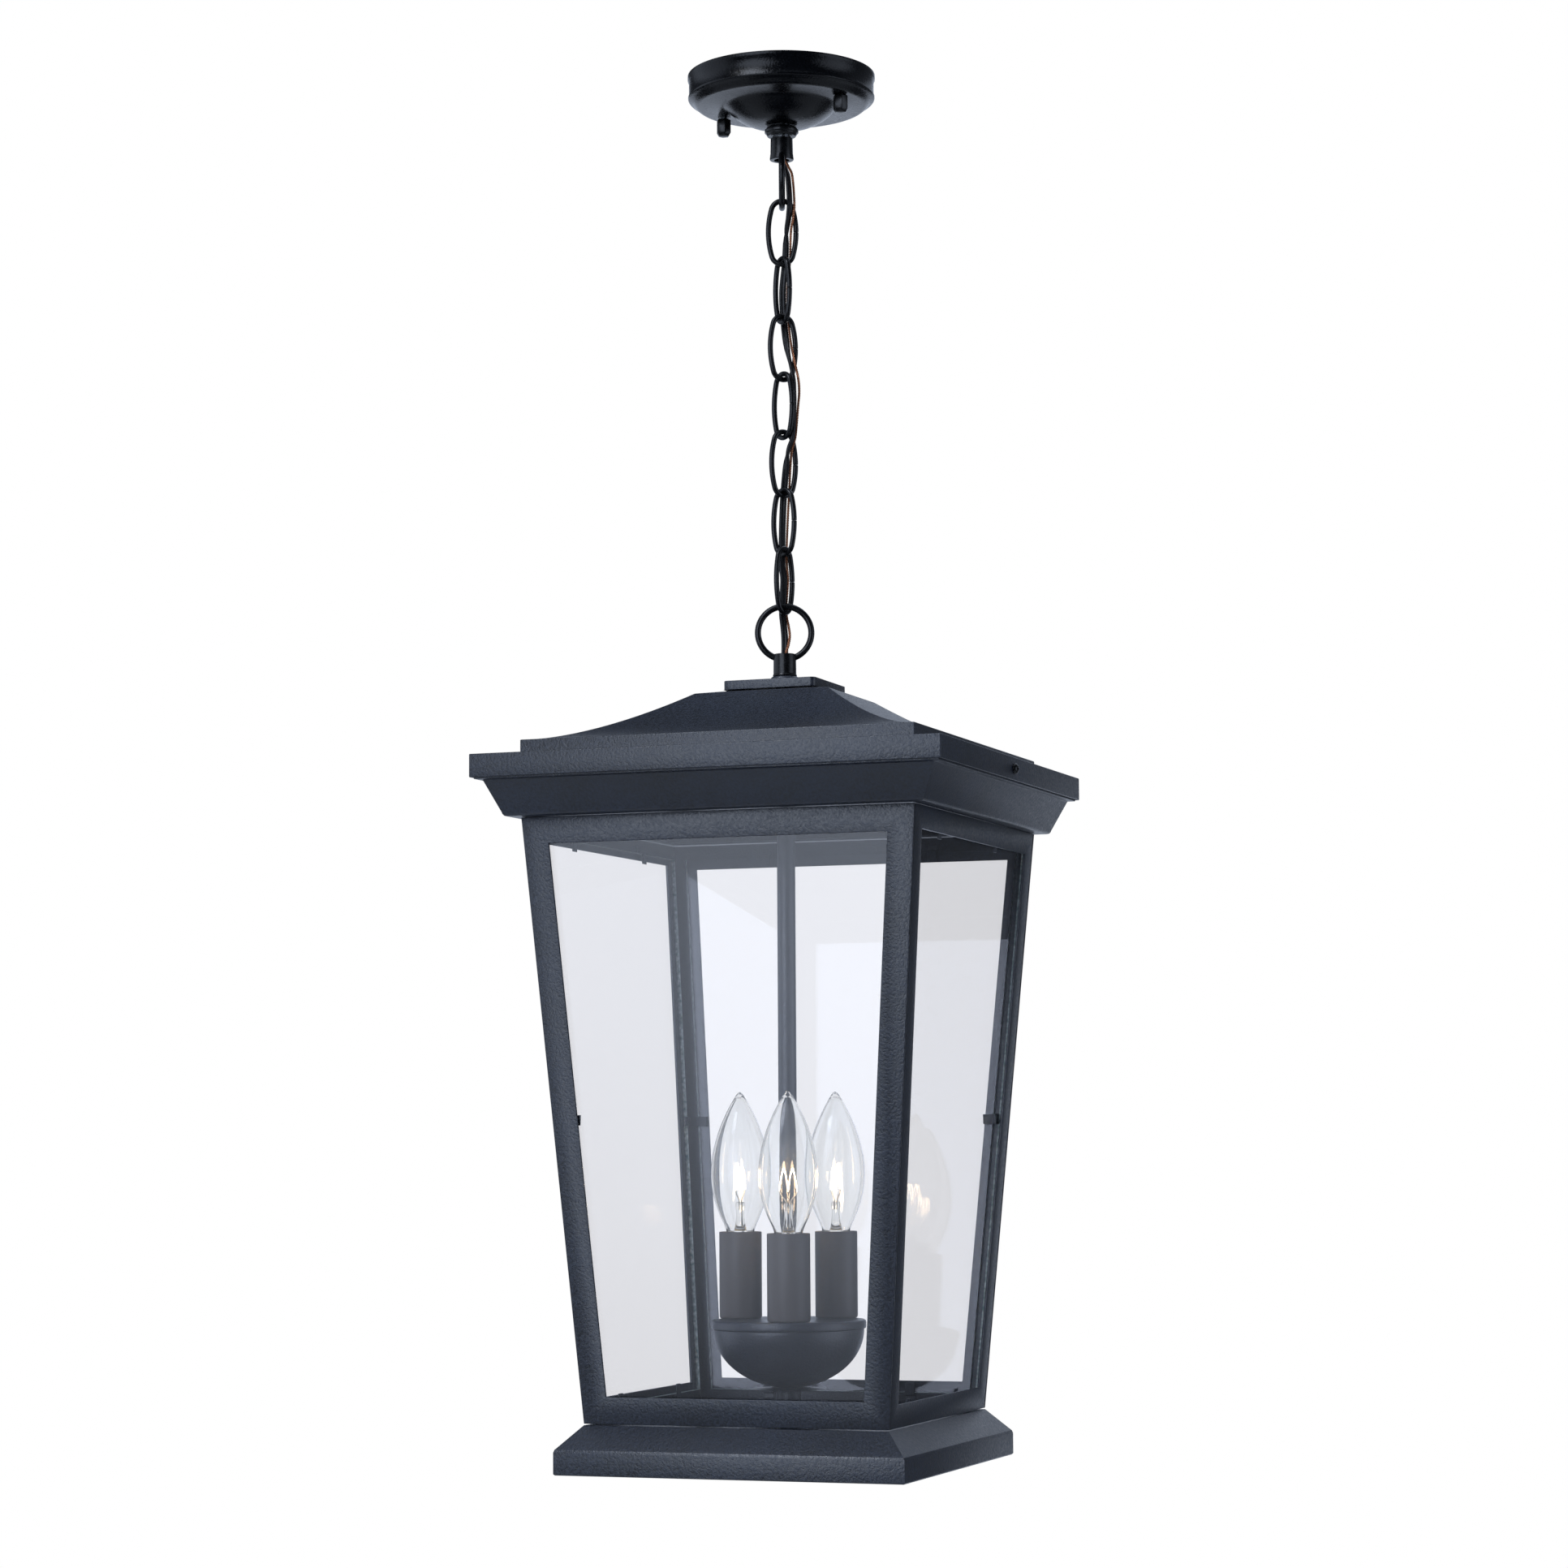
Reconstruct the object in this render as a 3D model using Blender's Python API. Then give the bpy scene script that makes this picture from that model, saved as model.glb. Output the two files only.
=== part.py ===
"""Hanging lantern: canopy, chain, folded roof, tapered glazed cage and a three-candle cluster.

The origin is the centre of the canopy's rim, where it meets the ceiling; everything hangs towards -Z.
The front is towards -Y. Lengths are in metres, and most are written as a number of millimetres times MM.
"""

import math

import bmesh
import bpy
from mathutils import Vector

MM = 0.001
GAP = 0.3 * MM  # between touching pieces

# Heights. The eave's top edge is the reference for the lantern's body.
EAVE_TOP = -423.5 * MM
SHOULDER_Z = EAVE_TOP + 41.4 * MM
CAP_TOP = EAVE_TOP + 49.9 * MM
EAVE_BOTTOM = EAVE_TOP - 13.7 * MM
COVE_BOTTOM = EAVE_TOP - 35.6 * MM
BODY_BOTTOM = EAVE_TOP - 386.0 * MM
BASE_BAND_TOP = EAVE_TOP - 399.4 * MM
BASE_BOTTOM = EAVE_TOP - 413.9 * MM

# Half widths of the square sections.
EAVE_HALF = 142.85 * MM
STEP_HALF = 120.5 * MM
SHOULDER_HALF = 42.25 * MM
CAP_HALF = 29.0 * MM
COVE_HALF = 136.9 * MM
BODY_TOP_HALF = 120.0 * MM
BODY_BOTTOM_HALF = 92.5 * MM
BASE_HALF = 106.0 * MM

SHEET = 1.2 * MM  # folded steel sheet
FRAME_SHEET = 1.6 * MM
BAR_WIDTH = 15.5 * MM  # stiles and rails
GLASS = 2.4 * MM

# Chain and the two ring loops. Angles are measured about Z from +X.
RING_TURN = 20.0
RING_RADIUS = 16.1 * MM
RING_WIRE = 3.8 * MM
CANOPY_RING_Z = -65.1 * MM
LANTERN_RING_Z = EAVE_TOP + 80.9 * MM
LINK_WIRE = 3.2 * MM
LINK_HALF_WIDTH = 8.4 * MM
LINK_END_RADIUS = 6.6 * MM
LINK_TURNS = (3, 60, -25, 50, -31, 43, -56)

# Canopy and its fixings.
STUD_SPACING = 88.9 * MM
STUD_TURN = -16.8

# Centre rod and cluster.
ROD_RADIUS = 5.45 * MM
ROD_BORE = 3.7 * MM
CANDLE_CIRCLE = 33.0 * MM
CANDLE_RADIUS = 12.7 * MM
CANDLE_TURNS = (-70, 50, 170)
PLATE_TOP = EAVE_TOP - 329.0 * MM
SLEEVE_TOP = EAVE_TOP - 277.5 * MM
BULB_TIP = EAVE_TOP - 194.4 * MM

ROUND = 28
SMALL_ROUND = 16


def material(name, colour, roughness, metallic, alpha=1.0):
    made = bpy.data.materials.new(name)
    made.use_nodes = True
    shader = made.node_tree.nodes["Principled BSDF"]
    shader.inputs["Base Color"].default_value = (*colour, 1.0)
    shader.inputs["Roughness"].default_value = roughness
    shader.inputs["Metallic"].default_value = metallic
    shader.inputs["Alpha"].default_value = alpha
    return made


for old in list(bpy.data.objects):
    bpy.data.objects.remove(old)

BLACK_COAT = material("black_powder_coat", (0.035, 0.043, 0.053), 0.5, 0.0)
BLACK_LINK = material("black_wire", (0.02, 0.022, 0.027), 0.4, 0.0)
CANDLE_BLACK = material("candle_sleeve_black", (0.05, 0.055, 0.06), 0.6, 0.0)
ZINC = material("zinc_plated_steel", (0.6, 0.6, 0.58), 0.35, 1.0)
CLEAR_GLASS = material("clear_glass", (0.95, 0.97, 0.98), 0.02, 0.0, 0.25)
BRASS = material("plated_brass", (0.75, 0.62, 0.38), 0.3, 1.0)
CORD_JACKET = material("black_cord", (0.015, 0.015, 0.017), 0.45, 0.0)
COPPER = material("bare_copper", (0.69, 0.42, 0.28), 0.35, 1.0)
SOCKET_PLASTIC = material("socket_phenolic", (0.05, 0.05, 0.05), 0.5, 0.0)


def add_object(name, mesh_or_curve, finish, parent=None):
    made = bpy.data.objects.new(name, mesh_or_curve)
    made.data.materials.append(finish)
    bpy.context.scene.collection.objects.link(made)
    made.parent = parent
    return made


def mesh_object(name, bm, finish, location=(0, 0, 0), turn=0.0, parent=None, smooth=40):
    """Turns a bmesh, drawn about its own origin, into a placed object."""
    bmesh.ops.remove_doubles(bm, verts=bm.verts, dist=0.00001)
    bmesh.ops.recalc_face_normals(bm, faces=bm.faces)
    data = bpy.data.meshes.new(name)
    bm.to_mesh(data)
    bm.free()
    data.shade_smooth()
    data.set_sharp_from_angle(angle=math.radians(smooth))
    made = add_object(name, data, finish, parent)
    made.location = location
    made.rotation_euler = (0, 0, math.radians(turn))
    return made


def pivot(name, location, turn=0.0, parent=None):
    """An empty on a joint's axis."""
    made = bpy.data.objects.new(name, None)
    bpy.context.scene.collection.objects.link(made)
    made.empty_display_size = 0.02
    made.location = location
    made.rotation_euler = (0, 0, math.radians(turn))
    made.parent = parent
    return made


def turned(name, outline, finish, location=(0, 0, 0), turn=0.0, parent=None, steps=ROUND):
    """A round piece: a closed outline of (radius, height) spun about Z."""
    bm = bmesh.new()
    verts = [bm.verts.new((radius, 0, height)) for radius, height in outline]
    edges = [bm.edges.new(pair) for pair in zip(verts, verts[1:] + verts[:1])]
    bmesh.ops.spin(
        bm, geom=verts + edges, axis=(0, 0, 1), cent=(0, 0, 0), angle=math.tau, steps=steps, use_merge=True
    )
    return mesh_object(name, bm, finish, location, turn, parent)


def square_shell(name, outline, finish, location=(0, 0, 0), parent=None):
    """A square folded piece: a closed outline of (half width, height) carried round the four sides."""
    bm = bmesh.new()
    loops = []
    for half, height in outline:
        corners = ((-half, -half), (half, -half), (half, half), (-half, half))
        loops.append([bm.verts.new((x, y, height)) for x, y in corners])
    for low, high in zip(loops, loops[1:] + loops[:1]):
        for n in range(4):
            bm.faces.new((low[n - 1], low[n], high[n], high[n - 1]))
    return mesh_object(name, bm, finish, location, 0, parent, smooth=25)


def prism(name, outline, low, high, finish, location=(0, 0, 0), turn=0.0, parent=None):
    """A flat outline of (x, y), extruded from one height to another."""
    bm = bmesh.new()
    face = bm.faces.new([bm.verts.new((x, y, low)) for x, y in outline])
    grown = bmesh.ops.extrude_face_region(bm, geom=[face])
    top = [item for item in grown["geom"] if isinstance(item, bmesh.types.BMVert)]
    bmesh.ops.translate(bm, verts=top, vec=(0, 0, high - low))
    return mesh_object(name, bm, finish, location, turn, parent)


def wire(name, points, radius, finish, cyclic=False, sides=2, location=(0, 0, 0), turn=0.0, parent=None):
    """A round wire or cord along a list of points."""
    data = bpy.data.curves.new(name, "CURVE")
    data.dimensions = "3D"
    data.bevel_depth = radius
    data.bevel_resolution = sides
    data.use_fill_caps = True
    line = data.splines.new("POLY")
    line.points.add(len(points) - 1)
    for point, place in zip(line.points, points):
        point.co = (*place, 1)
    line.use_cyclic_u = cyclic
    made = add_object(name, data, finish, parent)
    made.location = location
    made.rotation_euler = (0, 0, math.radians(turn))
    return made


def cut(target, *cutters):
    """Takes each cutter out of the target."""
    for cutter in cutters:
        cutter.hide_render = True
        cutter.display_type = "WIRE"
        boolean = target.modifiers.new("cut_" + cutter.name, "BOOLEAN")
        boolean.operation = "DIFFERENCE"
        boolean.solver = "EXACT"
        boolean.object = cutter


def circle(radius, sides, turn=0.0):
    start = math.radians(turn)
    return [
        (radius * math.cos(start + math.tau * n / sides), radius * math.sin(start + math.tau * n / sides))
        for n in range(sides)
    ]


def around(turn, radius):
    """The point at an angle and a distance from the lantern's axis."""
    return radius * math.cos(math.radians(turn)), radius * math.sin(math.radians(turn))


def tube(outer, inner, low, high):
    """The outline of a plain tube."""
    return [(outer, low), (outer, high), (inner, high), (inner, low)]


def with_wall(outer, wall):
    """Closes an outline by walking back along it, one wall thickness inside."""
    inner = []
    last = len(outer) - 1
    for n, (radius, height) in enumerate(outer):
        before = Vector(outer[max(n - 1, 0)])
        after = Vector(outer[min(n + 1, last)])
        here = Vector((radius, height))
        turns = [v.normalized() for v in (here - before, after - here) if v.length > 0]
        normals = [Vector((v.y, -v.x)) for v in turns]
        middle = sum(normals, Vector((0, 0))).normalized()
        inner.append(here + middle * (wall / middle.dot(normals[0])))
    return [tuple(v) for v in [Vector(p) for p in outer] + inner[::-1]]


# ---------------------------------------------------------------- ceiling group, fixed
def ceiling_group():
    """Crossbar, canopy with its studs, and the threaded nipple that carries the upper loop."""
    bar_low, bar_high = -6.0 * MM, -4.0 * MM
    bar = prism(
        "crossbar",
        [(-52 * MM, -9 * MM), (52 * MM, -9 * MM), (52 * MM, 9 * MM), (-52 * MM, 9 * MM)],
        bar_low,
        bar_high,
        ZINC,
        turn=STUD_TURN,
    )
    hole_half = 5 * MM
    holes = [("crossbar_centre_hole", (0, 0), 6.0 * MM)]
    for side in (-1, 1):
        holes.append((f"crossbar_stud_hole_{side}", around(STUD_TURN, side * STUD_SPACING / 2), 2.5 * MM))
        holes.append((f"crossbar_box_hole_{side}", around(STUD_TURN, side * 27 * MM), 2.5 * MM))
    holes.append(("crossbar_ground_hole", around(STUD_TURN + 12, 17 * MM), 2.4 * MM))
    for name, place, radius in holes:
        cut(bar, prism(name, circle(radius, 12), -hole_half, hole_half, ZINC, (*place, -5 * MM)))

    turned(
        "ground_screw",
        [(0, -10.5 * MM), (4.2 * MM, -10.5 * MM), (4.2 * MM, -6.3 * MM), (2.0 * MM, -6.3 * MM),
         (2.0 * MM, -1.0 * MM), (0, -1.0 * MM)],
        BRASS,
        (*around(STUD_TURN + 12, 17 * MM), 0),
        steps=12,
    )

    for number, side in ((1, -1), (2, 1)):
        place = (*around(STUD_TURN, side * STUD_SPACING / 2), 0)
        turned(
            f"canopy_stud_{number}",
            [(0, -26 * MM), (2.0 * MM, -26 * MM), (2.0 * MM, -1.0 * MM), (0, -1.0 * MM)],
            ZINC,
            place,
            steps=12,
        )
        axis = pivot(f"cap_nut_{number}_axis", place)
        nut = [(2.7, -19.3), (4.6, -19.3), (4.6, -27.5), (2.2, -30.2), (0, -30.2), (0, -26.6), (2.7, -26.6)]
        turned(f"cap_nut_{number}", [(r * MM, z * MM) for r, z in nut], BLACK_LINK, parent=axis, steps=6)

    outside = [
        (57.15, 0.0), (57.15, -2.6), (56.5, -3.4), (56.5, -14.4), (55.6, -16.4), (53.0, -16.8),
        (51.6, -18.2), (49.5, -18.9), (36.0, -18.9), (33.5, -20.2), (30.0, -23.2), (24.0, -27.4),
        (16.0, -30.4), (6.0, -31.3),
    ]
    canopy = turned("canopy", with_wall([(r * MM, z * MM) for r, z in outside], 1.0 * MM), BLACK_COAT)
    for side in (-1, 1):
        place = (*around(STUD_TURN, side * STUD_SPACING / 2), -19 * MM)
        cut(canopy, prism(f"canopy_stud_hole_{side}", circle(2.5 * MM, 12), -4 * MM, 4 * MM, ZINC, place))

    turned("canopy_nipple", tube(5.0 * MM, 4.0 * MM, -44.0 * MM, -2.0 * MM), ZINC, steps=SMALL_ROUND)
    turned("nipple_nut", tube(9.0 * MM, 6.2 * MM, -11.0 * MM, -6.4 * MM), ZINC, steps=6)
    collar = [(5.4, -31.8), (8.6, -31.8), (10.3, -33.6), (10.3, -35.4), (8.6, -37.4), (5.4, -37.4)]
    turned("canopy_collar", [(r * MM, z * MM) for r, z in collar], BLACK_LINK, steps=ROUND)
    ring_and_coupler("canopy", CANOPY_RING_Z, -1, RING_TURN + 90)


def ring_and_coupler(owner, ring_z, ring_side, turn, parent=None):
    """A ring of heavy wire, and the bored coupler that its two ends run into."""
    mouth = ring_z - ring_side * 13.0 * MM
    step = mouth - ring_side * 4.0 * MM
    far = mouth - ring_side * 13.5 * MM
    outline = [
        (4.5 * MM, mouth), (6.9 * MM, mouth), (7.1 * MM, mouth - ring_side * 0.6 * MM), (6.7 * MM, far),
        (5.75 * MM, far), (5.75 * MM, step), (4.5 * MM, step),
    ]
    turned(f"{owner}_coupler", outline, BLACK_LINK, parent=parent, steps=24)
    # the ring is open where the coupler sits: its ends stop just short of the coupler's wall
    open_half = math.asin((7.1 * MM + GAP + RING_WIRE * 0.25) / RING_RADIUS) + math.radians(1.5)
    steps = 26
    points = []
    for n in range(steps + 1):
        angle = open_half + (math.tau - 2 * open_half) * n / steps
        points.append((RING_RADIUS * math.sin(angle), 0, -ring_side * RING_RADIUS * math.cos(angle)))
    place = (0, 0, ring_z)
    wire(f"{owner}_ring", points, RING_WIRE / 2, BLACK_LINK, location=place, turn=turn, parent=parent)


# ---------------------------------------------------------------- chain and cord
HANG = RING_WIRE / 2 + LINK_WIRE / 2 + GAP  # between a ring's wire and a link's wire
NEST = LINK_WIRE + GAP  # between two links' wires
TOP_KNOT = CANOPY_RING_Z - RING_RADIUS
BOTTOM_KNOT = LANTERN_RING_Z + RING_RADIUS
LINKS = len(LINK_TURNS)
LINK_LENGTH = (TOP_KNOT - BOTTOM_KNOT + 2 * HANG + (LINKS - 1) * NEST) / LINKS
PITCH = LINK_LENGTH - NEST


def link_top(number):
    """Height of the top wire's centre, for a link counted from 0."""
    return TOP_KNOT + HANG - number * PITCH


def oval():
    """A link's centre line, about its middle: four tangent arcs, evenly spaced points on each."""
    half_length = LINK_LENGTH / 2
    reach = half_length - LINK_END_RADIUS
    side_radius = (reach**2 + LINK_HALF_WIDTH**2 - LINK_END_RADIUS**2) / (
        2 * (LINK_HALF_WIDTH - LINK_END_RADIUS)
    )
    side_centre = side_radius - LINK_HALF_WIDTH
    spread = math.atan2(reach, side_centre)
    quarter = []
    for n in range(3):
        angle = spread * n / 3
        quarter.append((side_radius * math.cos(angle) - side_centre, side_radius * math.sin(angle)))
    for n in range(5):
        angle = spread + (math.pi / 2 - spread) * n / 5
        quarter.append((LINK_END_RADIUS * math.cos(angle), reach + LINK_END_RADIUS * math.sin(angle)))
    quarter.append((0, half_length))
    half = quarter + [(-x, z) for x, z in quarter[-2::-1]]
    return half + [(x, -z) for x, z in half[-2:0:-1]]


def chain():
    """Seven welded links. Each hangs from an empty on the wire that it turns about."""
    outline = oval()
    for n, turn in enumerate(LINK_TURNS):
        knot = TOP_KNOT if n == 0 else link_top(n - 1) - LINK_LENGTH
        axis = pivot(f"link_{n + 1}_axis", (0, 0, knot))
        middle = link_top(n) - LINK_LENGTH / 2
        wire(
            f"chain_link_{n + 1}",
            [(x, 0, z) for x, z in outline],
            LINK_WIRE / 2,
            BLACK_LINK,
            cyclic=True,
            location=(0, 0, middle - knot),
            turn=RING_TURN - turn,
            parent=axis,
        )


# The cord's route. Each row is a height, then the place of the cord and of the ground wire in mm:
# across the ring's plane to the right, and towards the front. Heights count knots: 0 is the
# canopy ring's knot, 1 to 6 the knots between links, and 7 the lantern ring's.
CORD_ROUTE = (
    (-1.55, 0.0, -0.6, 0.3, 2.3),
    (-1.05, 0.2, -0.6, 0.4, 2.4),
    (-0.80, 0.7, -0.4, 1.4, 2.6),
    (-0.62, 2.2, 0.5, 4.2, 3.4),
    (-0.45, 3.7, 2.2, 6.4, 4.3),
    (0.0, 4.6, 4.5, 7.5, 3.1),
    (0.25, 4.0, 2.8, 6.8, 3.6),
    (0.5, 2.6, 0.3, 5.3, 1.7),
    (1.0, 1.7, -4.3, 4.6, -2.9),
    (1.5, 0.0, -5.3, 2.9, -4.3),
    (2.0, 0.7, -6.4, 3.5, -4.6),
    (2.5, 2.6, -2.4, 5.4, -1.1),
    (3.0, 6.1, 1.6, 8.9, 2.9),
    (3.25, 6.7, 1.1, 9.7, 0.8),
    (3.5, 6.8, 0.9, 9.0, -1.4),
    (4.0, 5.9, 1.3, 7.4, -1.2),
    (4.25, 3.1, 0.6, 5.1, -1.3),
    (4.5, 1.7, -1.5, 4.2, -3.1),
    (5.0, 0.0, -5.2, 3.2, -4.9),
    (5.5, -0.9, -4.9, 2.2, -5.2),
    (6.0, -1.3, -6.1, 1.5, -7.4),
    (6.25, -1.2, -5.2, 1.7, -6.5),
    (6.5, -0.4, -4.3, 2.2, -5.3),
    (7.0, -1.3, -4.8, 1.1, -6.7),
    (7.28, -0.5, -3.1, 2.5, -3.8),
    (7.45, 0.0, -1.8, 3.1, -1.0),
    (7.62, 0.1, -0.9, 2.2, 1.7),
    (7.80, 0.0, -0.6, 0.6, 2.4),
    (8.35, 0.0, -0.6, 0.3, 2.3),
    (8.90, 0.0, -0.6, 0.3, 2.3),
)
CORD_RADIUS = 1.7 * MM
GROUND_RADIUS = 0.6 * MM
ROUTE_STEPS = 2


def route(column):
    """Points on a smooth curve through the chosen ones: column 1 for the cord, 3 for the ground wire."""
    right = Vector((math.cos(math.radians(RING_TURN)), math.sin(math.radians(RING_TURN)), 0))
    front = Vector((right.y, -right.x, 0))
    first = TOP_KNOT + HANG / 2
    spacing = (first - (BOTTOM_KNOT - HANG / 2)) / LINKS
    chosen = []
    for row in CORD_ROUTE:
        place = right * row[column] * MM + front * row[column + 1] * MM
        chosen.append(place + Vector((0, 0, first - row[0] * spacing)))
    points = []
    for n in range(len(chosen) - 1):
        a, b = chosen[max(n - 1, 0)], chosen[n]
        c, d = chosen[n + 1], chosen[min(n + 2, len(chosen) - 1)]
        for step in range(ROUTE_STEPS):
            t = step / ROUTE_STEPS
            square = 2 * a - 5 * b + 4 * c - d
            cube = 3 * b - a - 3 * c + d
            points.append(0.5 * (2 * b + (c - a) * t + square * t**2 + cube * t**3))
    points.append(chosen[-1])
    return points


def cords():
    wire("supply_cord", route(1), CORD_RADIUS, CORD_JACKET)
    wire("ground_wire", route(3), GROUND_RADIUS, COPPER, sides=1)


# ---------------------------------------------------------------- roof, rod and cluster
def roof_group():
    """Everything that hangs from the lantern's ring: roof, centre rod and the candle cluster."""
    axis = pivot("lantern_axis", (0, 0, link_top(LINKS - 1) - LINK_LENGTH))
    lower = pivot("lantern_datum", (0, 0, -axis.location.z), parent=axis)
    ring_and_coupler("lantern", LANTERN_RING_Z, 1, RING_TURN, lower)

    seat = [(5.85, 50.2), (8.6, 50.2), (8.6, 53.2), (7.9, 54.1), (5.85, 54.1)]
    seat_outline = [(r * MM, EAVE_TOP + z * MM) for r, z in seat]
    turned("coupler_seat", seat_outline, BLACK_COAT, parent=lower, steps=24)

    cap_low = SHOULDER_Z + 3.0 * MM
    cap = [
        (CAP_HALF, cap_low), (CAP_HALF - 0.5 * MM, CAP_TOP - 0.8 * MM), (CAP_HALF - 1.3 * MM, CAP_TOP),
        (6.0 * MM, CAP_TOP), (6.0 * MM, CAP_TOP - SHEET), (CAP_HALF - 1.8 * MM, CAP_TOP - SHEET),
        (CAP_HALF - SHEET, cap_low),
    ]
    square_shell("cap_plate", cap, BLACK_COAT, parent=lower)

    # the roof sweeps out from the shoulder in a hollow curve that flattens towards the step
    crown = [
        (6.0 * MM, SHOULDER_Z + 2.6 * MM),
        (CAP_HALF + 1 * MM, SHOULDER_Z + 2.0 * MM),
        (SHOULDER_HALF, SHOULDER_Z),
    ]
    drop = SHOULDER_Z - (EAVE_TOP + 9.5 * MM)
    reach = STEP_HALF - SHOULDER_HALF
    for n in range(1, 11):
        t = n / 10
        crown.append((SHOULDER_HALF + reach * t, SHOULDER_Z - drop * (1 - (1 - t) ** 1.55)))
    crown += [
        (STEP_HALF, EAVE_TOP),
        (EAVE_HALF - 1.0 * MM, EAVE_TOP),
        (EAVE_HALF, EAVE_TOP - 1.0 * MM),
        (EAVE_HALF, EAVE_BOTTOM),
    ]
    roof = square_shell("roof_shell", with_wall(crown, SHEET), BLACK_COAT, parent=lower)
    for number, side in ((1, -1), (2, 1)):
        place = (side * EAVE_HALF, 0, EAVE_TOP - 7.0 * MM)
        bore = [(0, -4 * MM), (2.1 * MM, -4 * MM), (2.1 * MM, 4 * MM), (0, 4 * MM)]
        hole = turned(f"eave_hole_{number}", bore, ZINC, place, parent=lower, steps=12)
        hole.rotation_euler = (0, math.radians(90), 0)
        cut(roof, hole)
        screw_axis = pivot(f"eave_screw_{number}_axis", place, parent=lower)
        screw_axis.rotation_euler = (0, math.radians(90 * side), 0)
        head = [(0, -9.0), (1.7, -9.0), (1.7, 0.3), (3.4, 0.3), (3.2, 1.3), (2.3, 2.1), (0, 2.5)]
        screw = [(r * MM, z * MM) for r, z in head]
        turned(f"eave_screw_{number}", screw, BLACK_LINK, parent=screw_axis, steps=16)

    rod_foot = EAVE_TOP - 372.0 * MM
    rod_top = LANTERN_RING_Z - 17.4 * MM
    rod = tube(ROD_RADIUS, ROD_BORE, rod_foot, rod_top)
    turned("centre_rod", rod, BLACK_COAT, parent=lower, steps=SMALL_ROUND)
    nut = tube(10.5 * MM, 6.7 * MM, EAVE_TOP + 36.5 * MM, EAVE_TOP + 42.4 * MM)
    turned("rod_nut", nut, ZINC, parent=lower, steps=6)

    bowl_rim = PLATE_TOP - 5.4 * MM
    bowl_depth = 34.5 * MM
    bowl_radius = 44.6 * MM
    bowl = []
    for n in range(9):
        angle = math.radians(90 * n / 9)
        bowl.append((bowl_radius * math.cos(angle), bowl_rim - bowl_depth * math.sin(angle)))
    bowl_foot = bowl_rim - bowl_depth
    bowl.append((ROD_RADIUS + 2 * GAP, bowl_foot))
    turned("cluster_bowl", with_wall(bowl, SHEET), BLACK_COAT, parent=lower)
    plate = [
        (45.6, -5.0), (45.8, -1.2), (44.8, 0.0), (5.85, 0.0), (5.85, -1.2), (44.2, -1.2), (44.6, -5.0),
    ]
    plate_outline = [(r * MM, PLATE_TOP + z * MM) for r, z in plate]
    cover = turned("cluster_cover", plate_outline, BLACK_COAT, parent=lower)
    stem_low = BODY_BOTTOM + 3.2 * MM
    stem = [
        (0, stem_low), (4.2 * MM, stem_low), (6.8 * MM, stem_low + 1.5 * MM), (6.8 * MM, bowl_foot - GAP),
        (ROD_RADIUS + GAP, bowl_foot - GAP), (ROD_RADIUS + GAP, rod_foot - GAP), (0, rod_foot - GAP),
    ]
    turned("rod_finial", stem, BLACK_COAT, parent=lower, steps=SMALL_ROUND)

    for number, turn in enumerate(CANDLE_TURNS, 1):
        candle(number, turn, cover, lower)


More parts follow.
